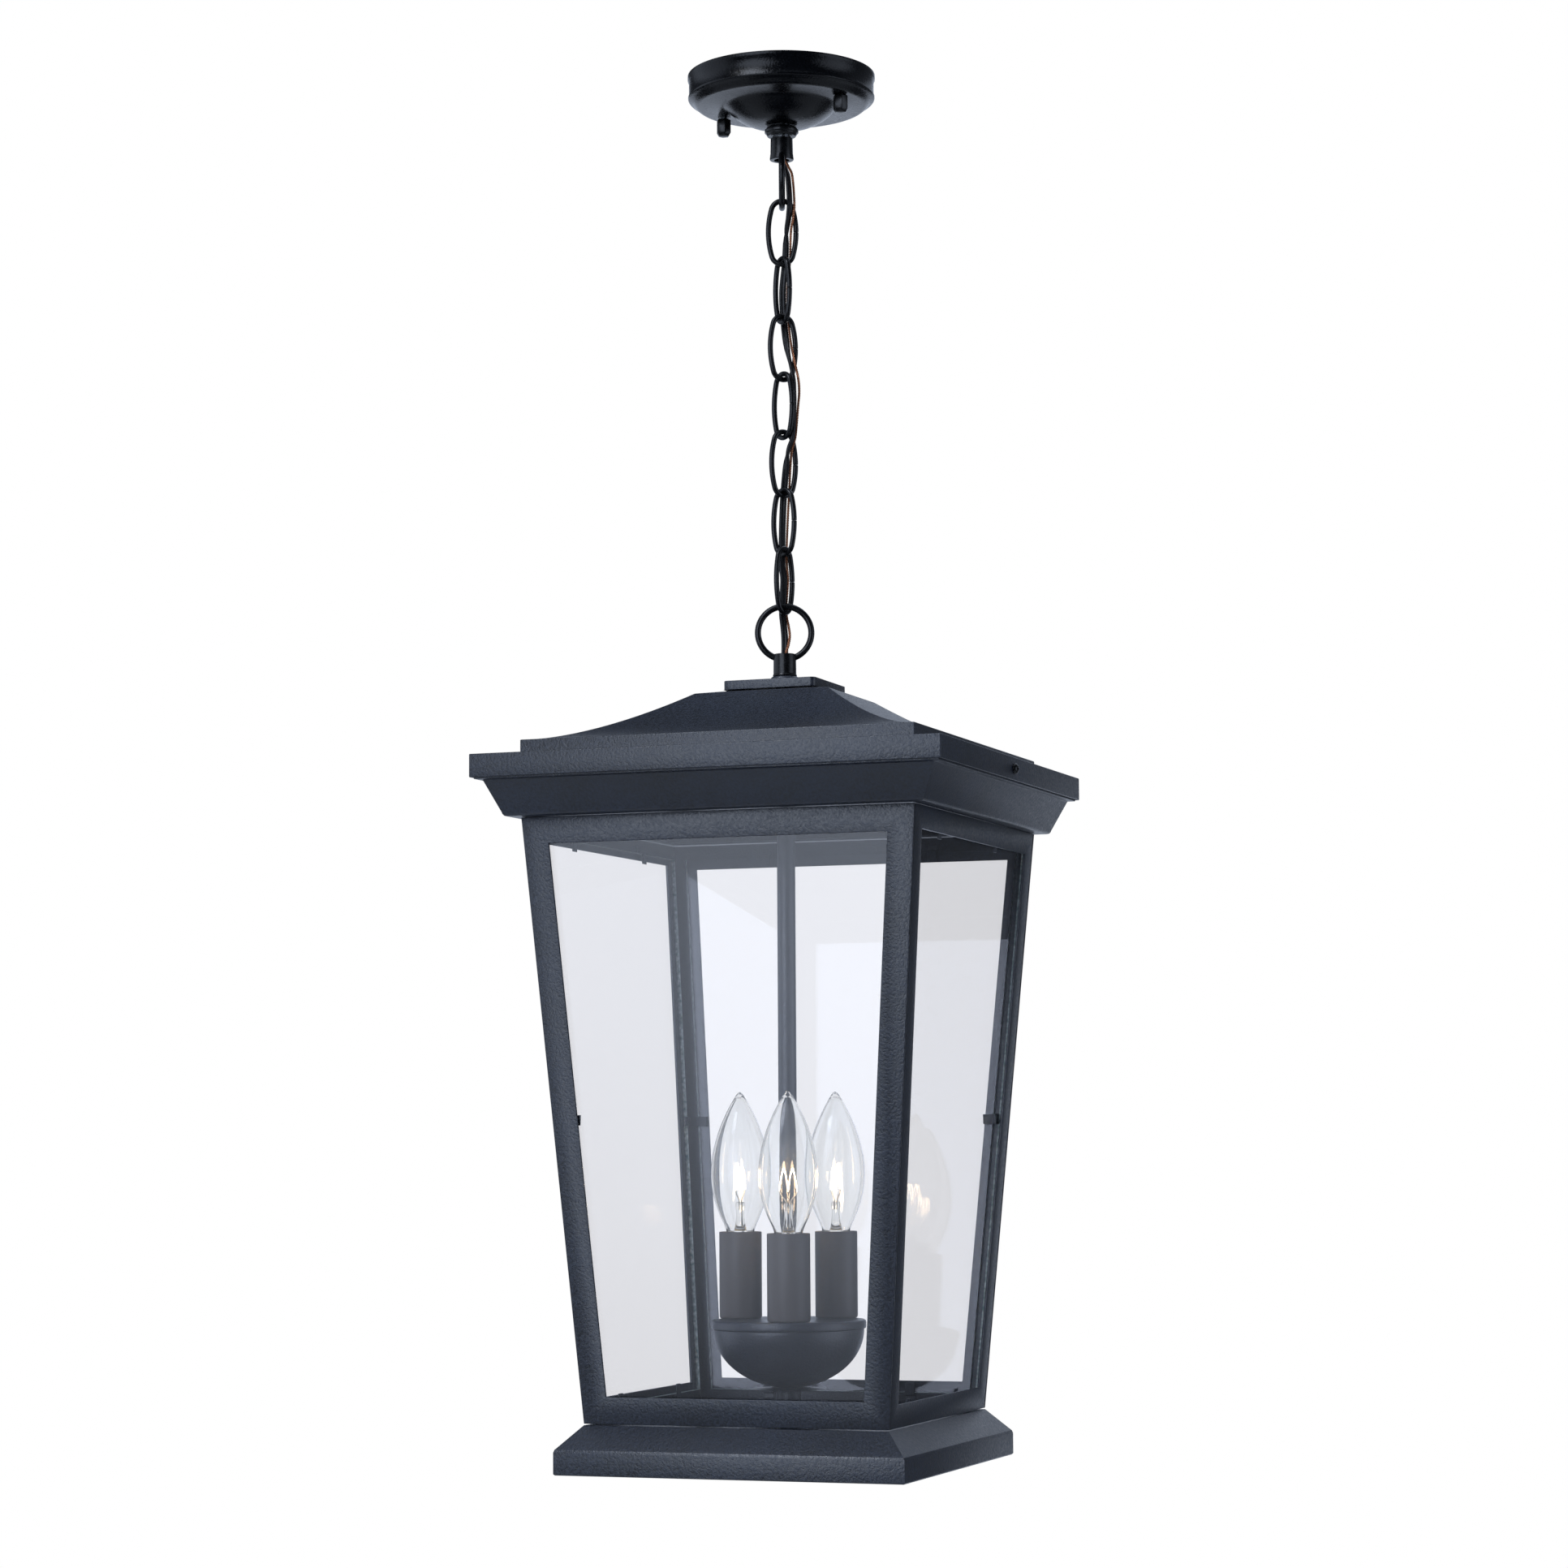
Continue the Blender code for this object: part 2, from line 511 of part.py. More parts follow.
def candle(number, turn, cover, parent):
    """A sleeve over its lamp socket, with a clear torpedo bulb screwed into it."""
    place = (*around(turn, CANDLE_CIRCLE), 0)
    floor = PLATE_TOP + GAP
    centre = (*place[:2], PLATE_TOP)
    hole = prism(f"wire_hole_{number}", circle(3.0 * MM, 12), -5 * MM, 5 * MM, ZINC, centre, parent=parent)
    cut(cover, hole)

    sleeve = [
        (12.0 * MM, floor), (12.5 * MM, floor + 0.5 * MM), (CANDLE_RADIUS, floor + 1.6 * MM),
        (CANDLE_RADIUS, SLEEVE_TOP - 0.4 * MM), (CANDLE_RADIUS - 0.3 * MM, SLEEVE_TOP),
        (11.9 * MM, SLEEVE_TOP),
        (11.9 * MM, floor + 1.6 * MM), (11.2 * MM, floor),
    ]
    turned(f"candle_sleeve_{number}", sleeve, CANDLE_BLACK, place, parent=parent, steps=20)

    rim = SLEEVE_TOP - 6.0 * MM
    socket = [(4.0, -44.0), (10.8, -44.0), (10.8, 0.0), (6.9, 0.0), (6.9, -24.0), (4.0, -24.0)]
    socket = [(r * MM, rim + z * MM) for r, z in socket]
    turned(f"lamp_socket_{number}", socket, SOCKET_PLASTIC, place, parent=parent, steps=SMALL_ROUND)

    axis = pivot(f"bulb_{number}_axis", place, parent=parent)
    base_top = SLEEVE_TOP + 1.0 * MM
    base = [
        (0, -26.5), (2.4, -26.5), (3.2, -24.6), (5.9, -21.5), (5.9, -6.0), (8.0, -3.2), (8.0, 0.0), (0, 0.0),
    ]
    base = [(r * MM, base_top + z * MM) for r, z in base]
    turned(f"bulb_base_{number}", base, BRASS, parent=axis, steps=16)

    glass_low = base_top + GAP
    height = BULB_TIP - glass_low
    torpedo = (
        (0, 8.2), (0.06, 9.9), (0.16, 13.6), (0.28, 16.5), (0.40, 17.5), (0.54, 16.7), (0.68, 13.9),
        (0.81, 9.8), (0.91, 5.6), (0.975, 2.4), (1.0, 0.0),
    )
    outer = [(radius * MM, glass_low + share * height) for share, radius in torpedo]
    wall = 0.9 * MM
    inner = [(radius - wall, height) for radius, height in outer[:2]]
    inner += [(radius - wall, height - wall / 2) for radius, height in outer[2:-1]]
    inner.append((0, BULB_TIP - 2 * wall))
    turned(f"bulb_glass_{number}", outer + inner[::-1], CLEAR_GLASS, parent=axis, steps=16)

    mount = [
        (0, 0.3), (6.2, 0.3), (6.2, 1.6), (3.6, 5.5), (2.6, 12.0), (2.3, 24.0), (3.0, 27.5), (2.2, 30.5),
        (0, 31.0),
    ]
    mount = [(r * MM, base_top + z * MM) for r, z in mount]
    turned(f"bulb_mount_{number}", mount, CLEAR_GLASS, parent=axis, steps=10)


# ---------------------------------------------------------------- cage
def cage_group():
    """The glazed cage. It hangs from the two eave screws, in open slots, and drops out of the roof."""
    axis = pivot("cage_axis", (0, 0, EAVE_BOTTOM))
    datum = pivot("cage_datum", (0, 0, -EAVE_BOTTOM), parent=axis)
    inside_eave = EAVE_HALF - SHEET - 0.9 * MM
    cove = [
        (inside_eave, EAVE_TOP - 2.2 * MM), (inside_eave, EAVE_BOTTOM - 0.8 * MM),
        (COVE_HALF, EAVE_BOTTOM - 1.1 * MM),
        (128.6 * MM, EAVE_TOP - 33.2 * MM), (127.7 * MM, EAVE_TOP - 34.8 * MM), (126.2 * MM, COVE_BOTTOM),
        (BODY_TOP_HALF - 6.0 * MM, COVE_BOTTOM),
    ]
    frame = square_shell("cove_frame", with_wall(cove, SHEET), BLACK_COAT, parent=datum)
    for side in (-1, 1):
        corners = [(-2.4 * MM, -2.4 * MM), (2.4 * MM, -2.4 * MM), (2.4 * MM, 12 * MM), (-2.4 * MM, 12 * MM)]
        slot = prism(f"screw_slot_{side}", corners, -5 * MM, 5 * MM, ZINC, parent=datum)
        slot.rotation_euler = (math.radians(90), 0, math.radians(90))
        slot.location = (side * (inside_eave - 1 * MM), 0, EAVE_TOP - 7.0 * MM)
        cut(frame, slot)

    lean = math.atan2(BODY_TOP_HALF - BODY_BOTTOM_HALF, COVE_BOTTOM - BODY_BOTTOM)

    def half_at(height):
        share = (height - BODY_BOTTOM) / (COVE_BOTTOM - BODY_BOTTOM)
        return BODY_BOTTOM_HALF + (BODY_TOP_HALF - BODY_BOTTOM_HALF) * share

    def panel(name, low, top, edge, window, depth, thickness, finish, turn):
        """A flat trapezium that leans with the body, with or without a window in it."""
        bm = bmesh.new()
        across = thickness / math.cos(lean)
        for inward in (depth, depth + across):
            loops = []
            for inset in (0, window) if window else (0,):
                ring = []
                foot, head = low + inset, top - inset
                for height, sign in ((foot, -1), (foot, 1), (head, 1), (head, -1)):
                    half = half_at(height)
                    ring.append(bm.verts.new((sign * (half - edge - inset), -(half - inward), height)))
                loops.append(ring)
            for n in range(4 if window else 0):
                bm.faces.new((loops[0][n], loops[0][n - 3], loops[1][n - 3], loops[1][n]))
            if not window:
                bm.faces.new(loops[0])
        bm.verts.ensure_lookup_table()
        count = len(bm.verts) // 2
        for first in range(0, count, 4):
            for n in range(4):
                ids = (first + n, first + (n + 1) % 4, first + (n + 1) % 4 + count, first + n + count)
                bm.faces.new([bm.verts[i] for i in ids])
        return mesh_object(name, bm, finish, (0, 0, 0), turn, datum, smooth=25)

    pane_edge = BAR_WIDTH - 6.0 * MM
    lap = FRAME_SHEET + 2 * GAP
    for name, turn, edge in (("front", 0, 0.0), ("right", 90, lap), ("back", 180, 0.0), ("left", 270, lap)):
        low, top = BODY_BOTTOM + GAP, COVE_BOTTOM - GAP
        panel(f"frame_{name}", low, top, edge, BAR_WIDTH - edge, 0.0, FRAME_SHEET, BLACK_COAT, turn)
        low, top = BODY_BOTTOM + pane_edge, COVE_BOTTOM - pane_edge
        panel(f"pane_{name}", low, top, pane_edge, 0, FRAME_SHEET + GAP, GLASS, CLEAR_GLASS, turn)

    base = [
        (BODY_BOTTOM_HALF - 9.0 * MM, BODY_BOTTOM), (BODY_BOTTOM_HALF, BODY_BOTTOM),
        (BASE_HALF - 0.8 * MM, BASE_BAND_TOP + 0.7 * MM), (BASE_HALF, BASE_BAND_TOP - 0.9 * MM),
        (BASE_HALF, BASE_BOTTOM + 0.8 * MM), (BASE_HALF - 0.8 * MM, BASE_BOTTOM),
        (BASE_HALF - 2.0 * MM, BASE_BOTTOM),
    ]
    square_shell("base_skirt", with_wall(base, SHEET), BLACK_COAT, parent=datum)
    floor_half = BODY_BOTTOM_HALF - 3.0 * MM
    floor_high = BODY_BOTTOM - SHEET - GAP
    square = [(x * floor_half, y * floor_half) for x, y in ((-1, -1), (1, -1), (1, 1), (-1, 1))]
    prism("floor_plate", square, floor_high - SHEET, floor_high, BLACK_COAT, parent=datum)


ceiling_group()
chain()
cords()
roof_group()
cage_group()
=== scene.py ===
"""Looks for the hanging lantern: canopy, chain and cord, folded roof, glazed cage and candle cluster."""

import math

import bmesh
import bpy
import numpy as np
from mathutils import Matrix, Vector


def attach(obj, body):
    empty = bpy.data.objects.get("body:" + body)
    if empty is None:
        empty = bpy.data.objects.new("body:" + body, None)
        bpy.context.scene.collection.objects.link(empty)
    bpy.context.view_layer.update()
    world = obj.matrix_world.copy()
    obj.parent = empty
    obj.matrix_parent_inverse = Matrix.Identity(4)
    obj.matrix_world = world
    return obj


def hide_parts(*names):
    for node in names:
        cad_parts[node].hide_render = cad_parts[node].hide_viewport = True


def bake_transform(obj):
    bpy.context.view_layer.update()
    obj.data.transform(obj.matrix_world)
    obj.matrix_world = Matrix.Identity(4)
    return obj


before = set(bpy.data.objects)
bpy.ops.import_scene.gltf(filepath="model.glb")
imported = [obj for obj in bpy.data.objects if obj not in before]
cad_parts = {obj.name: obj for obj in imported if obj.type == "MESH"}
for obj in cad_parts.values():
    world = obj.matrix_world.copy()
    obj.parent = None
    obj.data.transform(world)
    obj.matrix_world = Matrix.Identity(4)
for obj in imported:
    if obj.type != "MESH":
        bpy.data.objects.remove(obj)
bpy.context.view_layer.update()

MM = 0.001


# ---------------------------------------------------------------- camera, light and floor
# The lantern hangs in a bright white studio. Soft round lights stand in front of it, behind it, at
# both sides and overhead, two small strong ones are high up, and a pale floor lies well below.
CAMERA_AZIMUTH = 19.88
CAMERA_DISTANCE = 2.246
CAMERA_HEIGHT = -0.6475
CAMERA_AIM = 0.024
CAMERA_PITCH = 5.43
CAMERA_ROLL = -0.35
CAMERA_LENS = 86.32
FAINT_FILL = 0.05
# each light's azimuth, pitch, reach and fade in degrees, then its strength. Azimuth 0 looks from
# the front to the back, so a light at 180 stands in front
LIGHTS = (
    (167, 9, 14, 12, 2.45),  # the main light, in front and a little to the left
    (20, -8, 22, 12, 1.05),  # the lit backdrop, straight behind
    (-50, 0, 25, 30, 0.09),  # a trace from behind on the right
    (100, 0, 18, 28, 0.8),  # the left side
    (270, 0, 12, 18, 1.1),  # the right side
    (0, 90, 22, 20, 0.75),  # overhead
    (0, 28, 8, 14, 0.5),  # behind, above the backdrop
    (156, 46, 8, 7, 5.0),  # small and high, in front on the left
    (-20, 46, 8, 7, 1.5),  # small and high, behind on the right
)
SOFTBOX_SIZE = 1.2
SOFTBOX_WATTS = 5
SOFTBOX_PLACE = (-0.8, -1.6, 1.6)
SOFTBOX_AIM = (0, 0, -0.6)
FLOOR_HEIGHT = -2.6
FLOOR_RADIUS = 3.2
FLOOR_PALENESS = 0.8


def linear(code):
    """An sRGB hex colour as the linear RGBA that a shader takes."""
    shares = [int(code[n : n + 2], 16) / 255 for n in (1, 3, 5)]
    return (*[s / 12.92 if s <= 0.04045 else ((s + 0.055) / 1.055) ** 2.4 for s in shares], 1.0)


def add(tree, kind, inputs=(), **settings):
    """Adds a node. Inputs are pairs of a socket and a value, or of a socket and another node's output."""
    made = tree.nodes.new(kind)
    for name, value in settings.items():
        setattr(made, name, value)
    for socket, value in inputs:
        if isinstance(value, bpy.types.NodeSocket):
            tree.links.new(value, made.inputs[socket])
        else:
            made.inputs[socket].default_value = value
    return made


def facing(azimuth, pitch):
    """The direction of a look from the front, turned by an azimuth and raised by a pitch, in degrees."""
    turn, rise = math.radians(azimuth), math.radians(pitch)
    return Vector((-math.sin(turn) * math.cos(rise), math.cos(turn) * math.cos(rise), math.sin(rise)))


camera = bpy.data.objects.new("camera", bpy.data.cameras.new("camera"))
bpy.context.scene.collection.objects.link(camera)
camera.data.sensor_width = 36.0
camera.data.lens = CAMERA_LENS
camera.data.clip_start = 0.05
stand = math.radians(CAMERA_AZIMUTH)
camera.location = (math.sin(stand) * CAMERA_DISTANCE, -math.cos(stand) * CAMERA_DISTANCE, CAMERA_HEIGHT)
look = facing(CAMERA_AZIMUTH + CAMERA_AIM, CAMERA_PITCH).to_track_quat("-Z", "Y").to_matrix()
camera.rotation_euler = (look @ Matrix.Rotation(math.radians(CAMERA_ROLL), 3, "Z")).to_euler()
bpy.context.scene.camera = camera
bpy.context.scene.view_settings.view_transform = "Standard"

world = bpy.data.worlds.new("studio")
bpy.context.scene.world = world
world.use_nodes = True
surround = world.node_tree
surround.nodes.clear()
sky = add(surround, "ShaderNodeTexCoord")


def glow(azimuth, pitch, reach, fade, strength):
    """A soft round light in the surround, strength at its middle and fading out over a few degrees."""
    toward = add(
        surround,
        "ShaderNodeVectorMath",
        [(0, sky.outputs["Generated"]), (1, facing(azimuth, pitch))],
        operation="DOT_PRODUCT",
    )
    return add(
        surround,
        "ShaderNodeMapRange",
        [
            ("Value", toward.outputs["Value"]),
            ("From Min", math.cos(math.radians(reach + fade))),
            ("From Max", math.cos(math.radians(reach))),
            ("To Min", 0.0),
            ("To Max", strength),
        ],
        interpolation_type="SMOOTHSTEP",
    ).outputs[0]


light = FAINT_FILL
for lamp in LIGHTS:
    light = add(surround, "ShaderNodeMath", [(0, light), (1, glow(*lamp))], operation="ADD").outputs[0]
lit = add(surround, "ShaderNodeBackground", [("Color", linear("#d4dff2")), ("Strength", light)])
white = add(surround, "ShaderNodeBackground", [("Color", linear("#ffffff")), ("Strength", 1.0)])
paths = add(surround, "ShaderNodeLightPath")
seen = add(
    surround,
    "ShaderNodeMath",
    [(0, paths.outputs["Is Camera Ray"]), (1, paths.outputs["Is Transmission Ray"])],
    operation="MAXIMUM",
)
backdrop = add(
    surround, "ShaderNodeMixShader", [(0, seen.outputs[0]), (1, lit.outputs[0]), (2, white.outputs[0])]
)
add(surround, "ShaderNodeOutputWorld", [("Surface", backdrop.outputs[0])])

top_light = bpy.data.lights.new("top_softbox", "AREA")
top_light.size = SOFTBOX_SIZE
top_light.energy = SOFTBOX_WATTS
top_lamp = bpy.data.objects.new("top_softbox", top_light)
bpy.context.scene.collection.objects.link(top_lamp)
top_lamp.location = SOFTBOX_PLACE
top_lamp.rotation_euler = (Vector(SOFTBOX_AIM) - top_lamp.location).to_track_quat("-Z", "Y").to_euler()

floor_bm = bmesh.new()
bmesh.ops.create_circle(floor_bm, cap_ends=True, segments=96, radius=FLOOR_RADIUS)
bmesh.ops.translate(floor_bm, verts=floor_bm.verts, vec=(0, 0, FLOOR_HEIGHT))
floor_data = bpy.data.meshes.new("studio_floor")
floor_bm.to_mesh(floor_data)
floor_bm.free()
floor = bpy.data.objects.new("studio_floor", floor_data)
bpy.context.scene.collection.objects.link(floor)
floor_paint = bpy.data.materials.new("floor_paint")
floor_paint.use_nodes = True
floor_tree = floor_paint.node_tree
floor_tree.nodes.clear()
matt_floor = add(floor_tree, "ShaderNodeBsdfDiffuse", [("Color", linear("#dadad8"))])
# the floor looks as pale as the surround, without lighting the lantern from below
pale_floor = add(floor_tree, "ShaderNodeEmission", [("Color", linear("#f2f2f1")), ("Strength", 1.0)])
floor_paths = add(floor_tree, "ShaderNodeLightPath")
floor_seen = add(
    floor_tree,
    "ShaderNodeMath",
    [(0, floor_paths.outputs["Is Camera Ray"]), (1, FLOOR_PALENESS)],
    operation="MULTIPLY",
)
floor_mix = add(
    floor_tree,
    "ShaderNodeMixShader",
    [(0, floor_seen.outputs[0]), (1, matt_floor.outputs[0]), (2, pale_floor.outputs[0])],
)
add(floor_tree, "ShaderNodeOutputMaterial", [("Surface", floor_mix.outputs[0])])
floor_data.materials.append(floor_paint)


# ---------------------------------------------------------------- outlet-box bar and its fixings
# A zinc-plated steel bar screws to the ceiling box. Two threaded studs, a hollow nipple, its nut and
# a brass ground screw are fixed in it. They sit inside the canopy and keep their own shapes.
def new_finish(name):
    """A new material, with its node tree and its shader."""
    made = bpy.data.materials.new(name)
    made.use_nodes = True
    return made, made.node_tree, made.node_tree.nodes["Principled BSDF"]


def plated_metal(name, colour, streak, roughness):
    """Bright metal, plated or drawn: faint cloudy patches in its colour and its gloss."""
    made, tree, shader = new_finish(name)
    shader.inputs["Metallic"].default_value = 1.0
    where = add(tree, "ShaderNodeTexCoord")
    cloud = add(
        tree,
        "ShaderNodeTexNoise",
        [("Vector", where.outputs["Object"]), ("Scale", 1 / (6 * MM)), ("Detail", 4.0)],
    )
    tint = add(
        tree,
        "ShaderNodeMix",
        [("Factor", cloud.outputs["Fac"]), (6, linear(colour)), (7, linear(streak))],
        data_type="RGBA",
    )
    gloss = add(
        tree,
        "ShaderNodeMapRange",
        [("Value", cloud.outputs["Fac"]), ("To Min", roughness - 0.08), ("To Max", roughness + 0.12)],
    )
    tree.links.new(tint.outputs[2], shader.inputs["Base Color"])
    tree.links.new(gloss.outputs[0], shader.inputs["Roughness"])
    return made


def refinish(finish, *nodes):
    """Gives carried-over nodes a better material."""
    for name in nodes:
        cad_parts[name].material_slots[0].material = finish


# zinc is cool and pale under its clear passivation, and brass is warm and a little brighter
zinc_plate = plated_metal("zinc_plate_clear_passivated", "#c3c6c8", "#a9adb2", 0.32)
brass_plate = plated_metal("brass_plate_pressed", "#d9bf86", "#c2a468", 0.26)
refinish(zinc_plate, "crossbar", "canopy_stud_1", "canopy_stud_2", "canopy_nipple", "nipple_nut", "rod_nut")
refinish(brass_plate, "ground_screw")


# ---------------------------------------------------------------- canopy
# A spun steel dish, 114 mm across, that hides the ceiling box: a short wall with a rolled lip, a
# step, a flat ring and a shallow dome. Its black powder coat is smoother than the lantern's.
def powder_coat(name, colour, shade, roughness, ior, grit=1.5, depth=0.22):
    """Baked powder coat: the powder flows to a fine orange peel, so highlights are broad and sandy."""
    made, tree, shader = new_finish(name)
    shader.inputs["IOR"].default_value = ior
    where = add(tree, "ShaderNodeTexCoord")
    place = where.outputs["Object"]
    # the real grain is about 0.2 mm; it is drawn coarser so that it shows
    grain = add(
        tree,
        "ShaderNodeTexNoise",
        [("Vector", place), ("Scale", 1 / (grit * MM)), ("Detail", 2.0), ("Roughness", 0.6)],
    )
    drift = add(tree, "ShaderNodeTexNoise", [("Vector", place), ("Scale", 1 / (45 * MM)), ("Detail", 3.0)])
    pepper = add(
        tree, "ShaderNodeMapRange", [("Value", grain.outputs["Fac"]), ("From Min", 0.32), ("From Max", 0.68)]
    )
    mottle = add(
        tree,
        "ShaderNodeMath",
        [(0, pepper.outputs[0]), (1, 0.75), (2, drift.outputs["Fac"])],
        operation="MULTIPLY_ADD",
    )
    share = add(
        tree, "ShaderNodeMapRange", [("Value", mottle.outputs[0]), ("From Min", 0.35), ("From Max", 1.4)]
    )
    tint = add(
        tree,
        "ShaderNodeMix",
        [("Factor", share.outputs[0]), (6, linear(shade)), (7, linear(colour))],
        data_type="RGBA",
    )
    speckle = add(
        tree,
        "ShaderNodeMapRange",
        [
            ("Value", grain.outputs["Fac"]),
            ("From Min", 0.3),
            ("From Max", 0.7),
            ("To Min", roughness - 0.09),
            ("To Max", roughness + 0.09),
        ],
    )
    relief = add(
        tree,
        "ShaderNodeBump",
        [("Height", grain.outputs["Fac"]), ("Distance", depth * MM), ("Strength", 1.0)],
    )
    tree.links.new(tint.outputs[2], shader.inputs["Base Color"])
    tree.links.new(speckle.outputs[0], shader.inputs["Roughness"])
    tree.links.new(relief.outputs["Normal"], shader.inputs["Normal"])
    return made


def spun(outline, steps, turn=0, place=(0, 0)):
    """A bmesh spun about an upright line from an outline of (radius, height) in mm.

    An outline that doesn't end on the line is closed back to its start.
    """
    bm = bmesh.new()
    verts = [bm.verts.new((radius * MM, 0, height * MM)) for radius, height in outline]
    pairs = list(zip(verts, verts[1:]))
    if outline[0][0] > 0 or outline[-1][0] > 0:
        pairs.append((verts[-1], verts[0]))
    edges = [bm.edges.new(pair) for pair in pairs]
    bmesh.ops.spin(
        bm, geom=verts + edges, axis=(0, 0, 1), cent=(0, 0, 0), angle=math.tau, steps=steps, use_merge=True
    )
    bmesh.ops.remove_doubles(bm, verts=bm.verts, dist=0.002 * MM)
    bmesh.ops.recalc_face_normals(bm, faces=bm.faces)
    bmesh.ops.rotate(bm, verts=bm.verts, cent=(0, 0, 0), matrix=Matrix.Rotation(math.radians(turn), 3, "Z"))
    bmesh.ops.translate(bm, verts=bm.verts, vec=(*place, 0))
    return bm


def walled(outline, thickness):
    """Closes an outline by walking back along it, one wall inside."""
    inner = []
    for n, (radius, height) in enumerate(outline):
        before, after = Vector(outline[max(n - 1, 0)]), Vector(outline[min(n + 1, len(outline) - 1)])
        here = Vector((radius, height))
        runs = [v.normalized() for v in (here - before, after - here) if v.length > 0]
        normals = [Vector((v.y, -v.x)) for v in runs]
        middle = sum(normals, Vector((0, 0))).normalized()
        inner.append(here + middle * (thickness / middle.dot(normals[0])))
    return list(outline) + [tuple(v) for v in inner[::-1]]


def soften(bm, radius, segments=2, fold=25):
    """Rounds every edge that folds by more than an angle in degrees."""
    edges = [e for e in bm.edges if e.is_manifold and e.calc_face_angle() > math.radians(fold)]
    bmesh.ops.bevel(
        bm,
        geom=edges,
        offset=radius * MM,
        offset_type="OFFSET",
        affect="EDGES",
        segments=segments,
        profile=0.5,
        material=-1,
        clamp_overlap=True,
    )
    return bm


def piece(name, bm, finish, body, replaced=(), sharp=35):
    """Makes a bmesh into a piece that rides on its body, or is blended afterwards where it has none."""
    data = bpy.data.meshes.new(name)
    bm.to_mesh(data)
    bm.free()
    data.materials.append(finish)
    data.shade_smooth()
    data.set_sharp_from_angle(angle=math.radians(sharp))
    made = bpy.data.objects.new(name, data)
    bpy.context.scene.collection.objects.link(made)
    if body:
        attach(made, body)
    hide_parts(*replaced)
    return made


def around(turn, radius):
    """The point at an angle in degrees and a distance from the lantern's middle line."""
    return Vector((radius * math.cos(math.radians(turn)), radius * math.sin(math.radians(turn))))


# the lantern's coat is a blue-black with a broad sheen, and the canopy's is nearly black
black_coat = powder_coat("black_powder_coat_fine_texture", "#222d40", "#090d15", 0.38, 1.82)
canopy_coat = powder_coat("black_powder_coat_smooth", "#080b11", "#020305", 0.2, 1.4, 1.2, 0.14)
CANOPY_WALL = 1.0
canopy_outside = [
    (57.15, 0.0), (57.15, -2.4), (56.4, -3.4), (56.4, -12.6), (56.9, -13.3), (56.9, -14.2),
    (56.3, -14.9), (55.2, -15.3), (53.9, -16.2), (52.6, -17.7), (51.4, -18.6), (50.0, -18.9),
    (36.0, -18.9), (34.2, -19.6), (32.5, -20.9), (30.0, -23.2), (27.2, -25.3), (24.0, -27.4),
    (20.2, -29.1), (16.0, -30.4), (11.0, -31.1), (6.0, -31.3),
]
canopy_bm = soften(spun(walled(canopy_outside, CANOPY_WALL), 128), 0.3, 3, 40)
piece("canopy_dish", canopy_bm, canopy_coat, "ceiling", ["canopy"], 50)


# ---------------------------------------------------------------- cap nuts
# Two long hexagon cap nuts, chamfered at both ends and painted black, hold the canopy up on its
# studs. They are 9 mm from corner to corner.
# stoved enamel flows out almost flat, so its highlights are small and sharp
gloss_black = powder_coat("black_enamel_stoved", "#0b0c0f", "#08090b", 0.26, 1.5, 1.4, 0.03)
STUD_TURN = -16.8
STUD_CIRCLE = 44.45
nut_outline = [
    (2.7, -19.3), (3.9, -19.3), (4.6, -19.9), (4.6, -27.6), (3.3, -29.8), (0, -30.2), (0, -26.6),
    (2.7, -26.6),
]
for number, side in ((1, -1), (2, 1)):
    nut_place = around(STUD_TURN, side * STUD_CIRCLE * MM)
    nut_bm = soften(spun(nut_outline, 6, 0, nut_place), 0.2, 2, 30)
    nut = f"cap_nut_{number}"
    piece(f"hex_{nut}", nut_bm, gloss_black, nut, [nut])


# ---------------------------------------------------------------- collar, couplers and rings
# Under the canopy, a grooved collar and a turned coupler close on the nipple, and a heavy wire ring
# is sprung into the coupler's two side holes. The lantern's own ring and coupler face the front.
RING_RADIUS = 16.1
RING_WIRE = 3.8
RING_TURN = 20.0
RING_HOLE = 6.1
RING_STEPS = 72
RING_MOUTH = 13.0
CANOPY_RING_Z = -65.1
EAVE_TOP = -423.5
LANTERN_RING_Z = EAVE_TOP + 80.9


def drawn(stations, outline):
    """Wire drawn through stations, each a matrix that places its cross section, an outline in mm."""
    bm = bmesh.new()
    face = bm.faces.new([bm.verts.new((x * MM, y * MM, 0)) for x, y in outline])
    bmesh.ops.transform(bm, matrix=stations[0], verts=bm.verts)
    for before, after in zip(stations, stations[1:]):
        grown = bmesh.ops.extrude_face_region(bm, geom=[face])["geom"]
        face = next(item for item in grown if isinstance(item, bmesh.types.BMFace))
        bmesh.ops.transform(bm, matrix=after @ before.inverted(), verts=face.verts)
    bmesh.ops.recalc_face_normals(bm, faces=bm.faces)
    return bm


def stations_along(points, across, twist=0.0):
    """A matrix at each point: Z runs along the wire, and X across it, turned by a twist per metre."""
    made = []
    gone = 0.0
    for n, here in enumerate(points):
        run = (points[min(n + 1, len(points) - 1)] - points[max(n - 1, 0)]).normalized()
        side = across[n] - run * across[n].dot(run)
        side.normalize()
        if n:
            gone += (here - points[n - 1]).length
        side = Matrix.Rotation(twist * gone, 3, run) @ side
        up = run.cross(side)
        made.append(Matrix.Translation(here) @ Matrix((side, up, run)).transposed().to_4x4())
    return made


def round_section(radius, sides):
    """A wire's round cross section."""
    angles = [math.tau * n / sides for n in range(sides)]
    return [(radius * math.cos(a), radius * math.sin(a)) for a in angles]


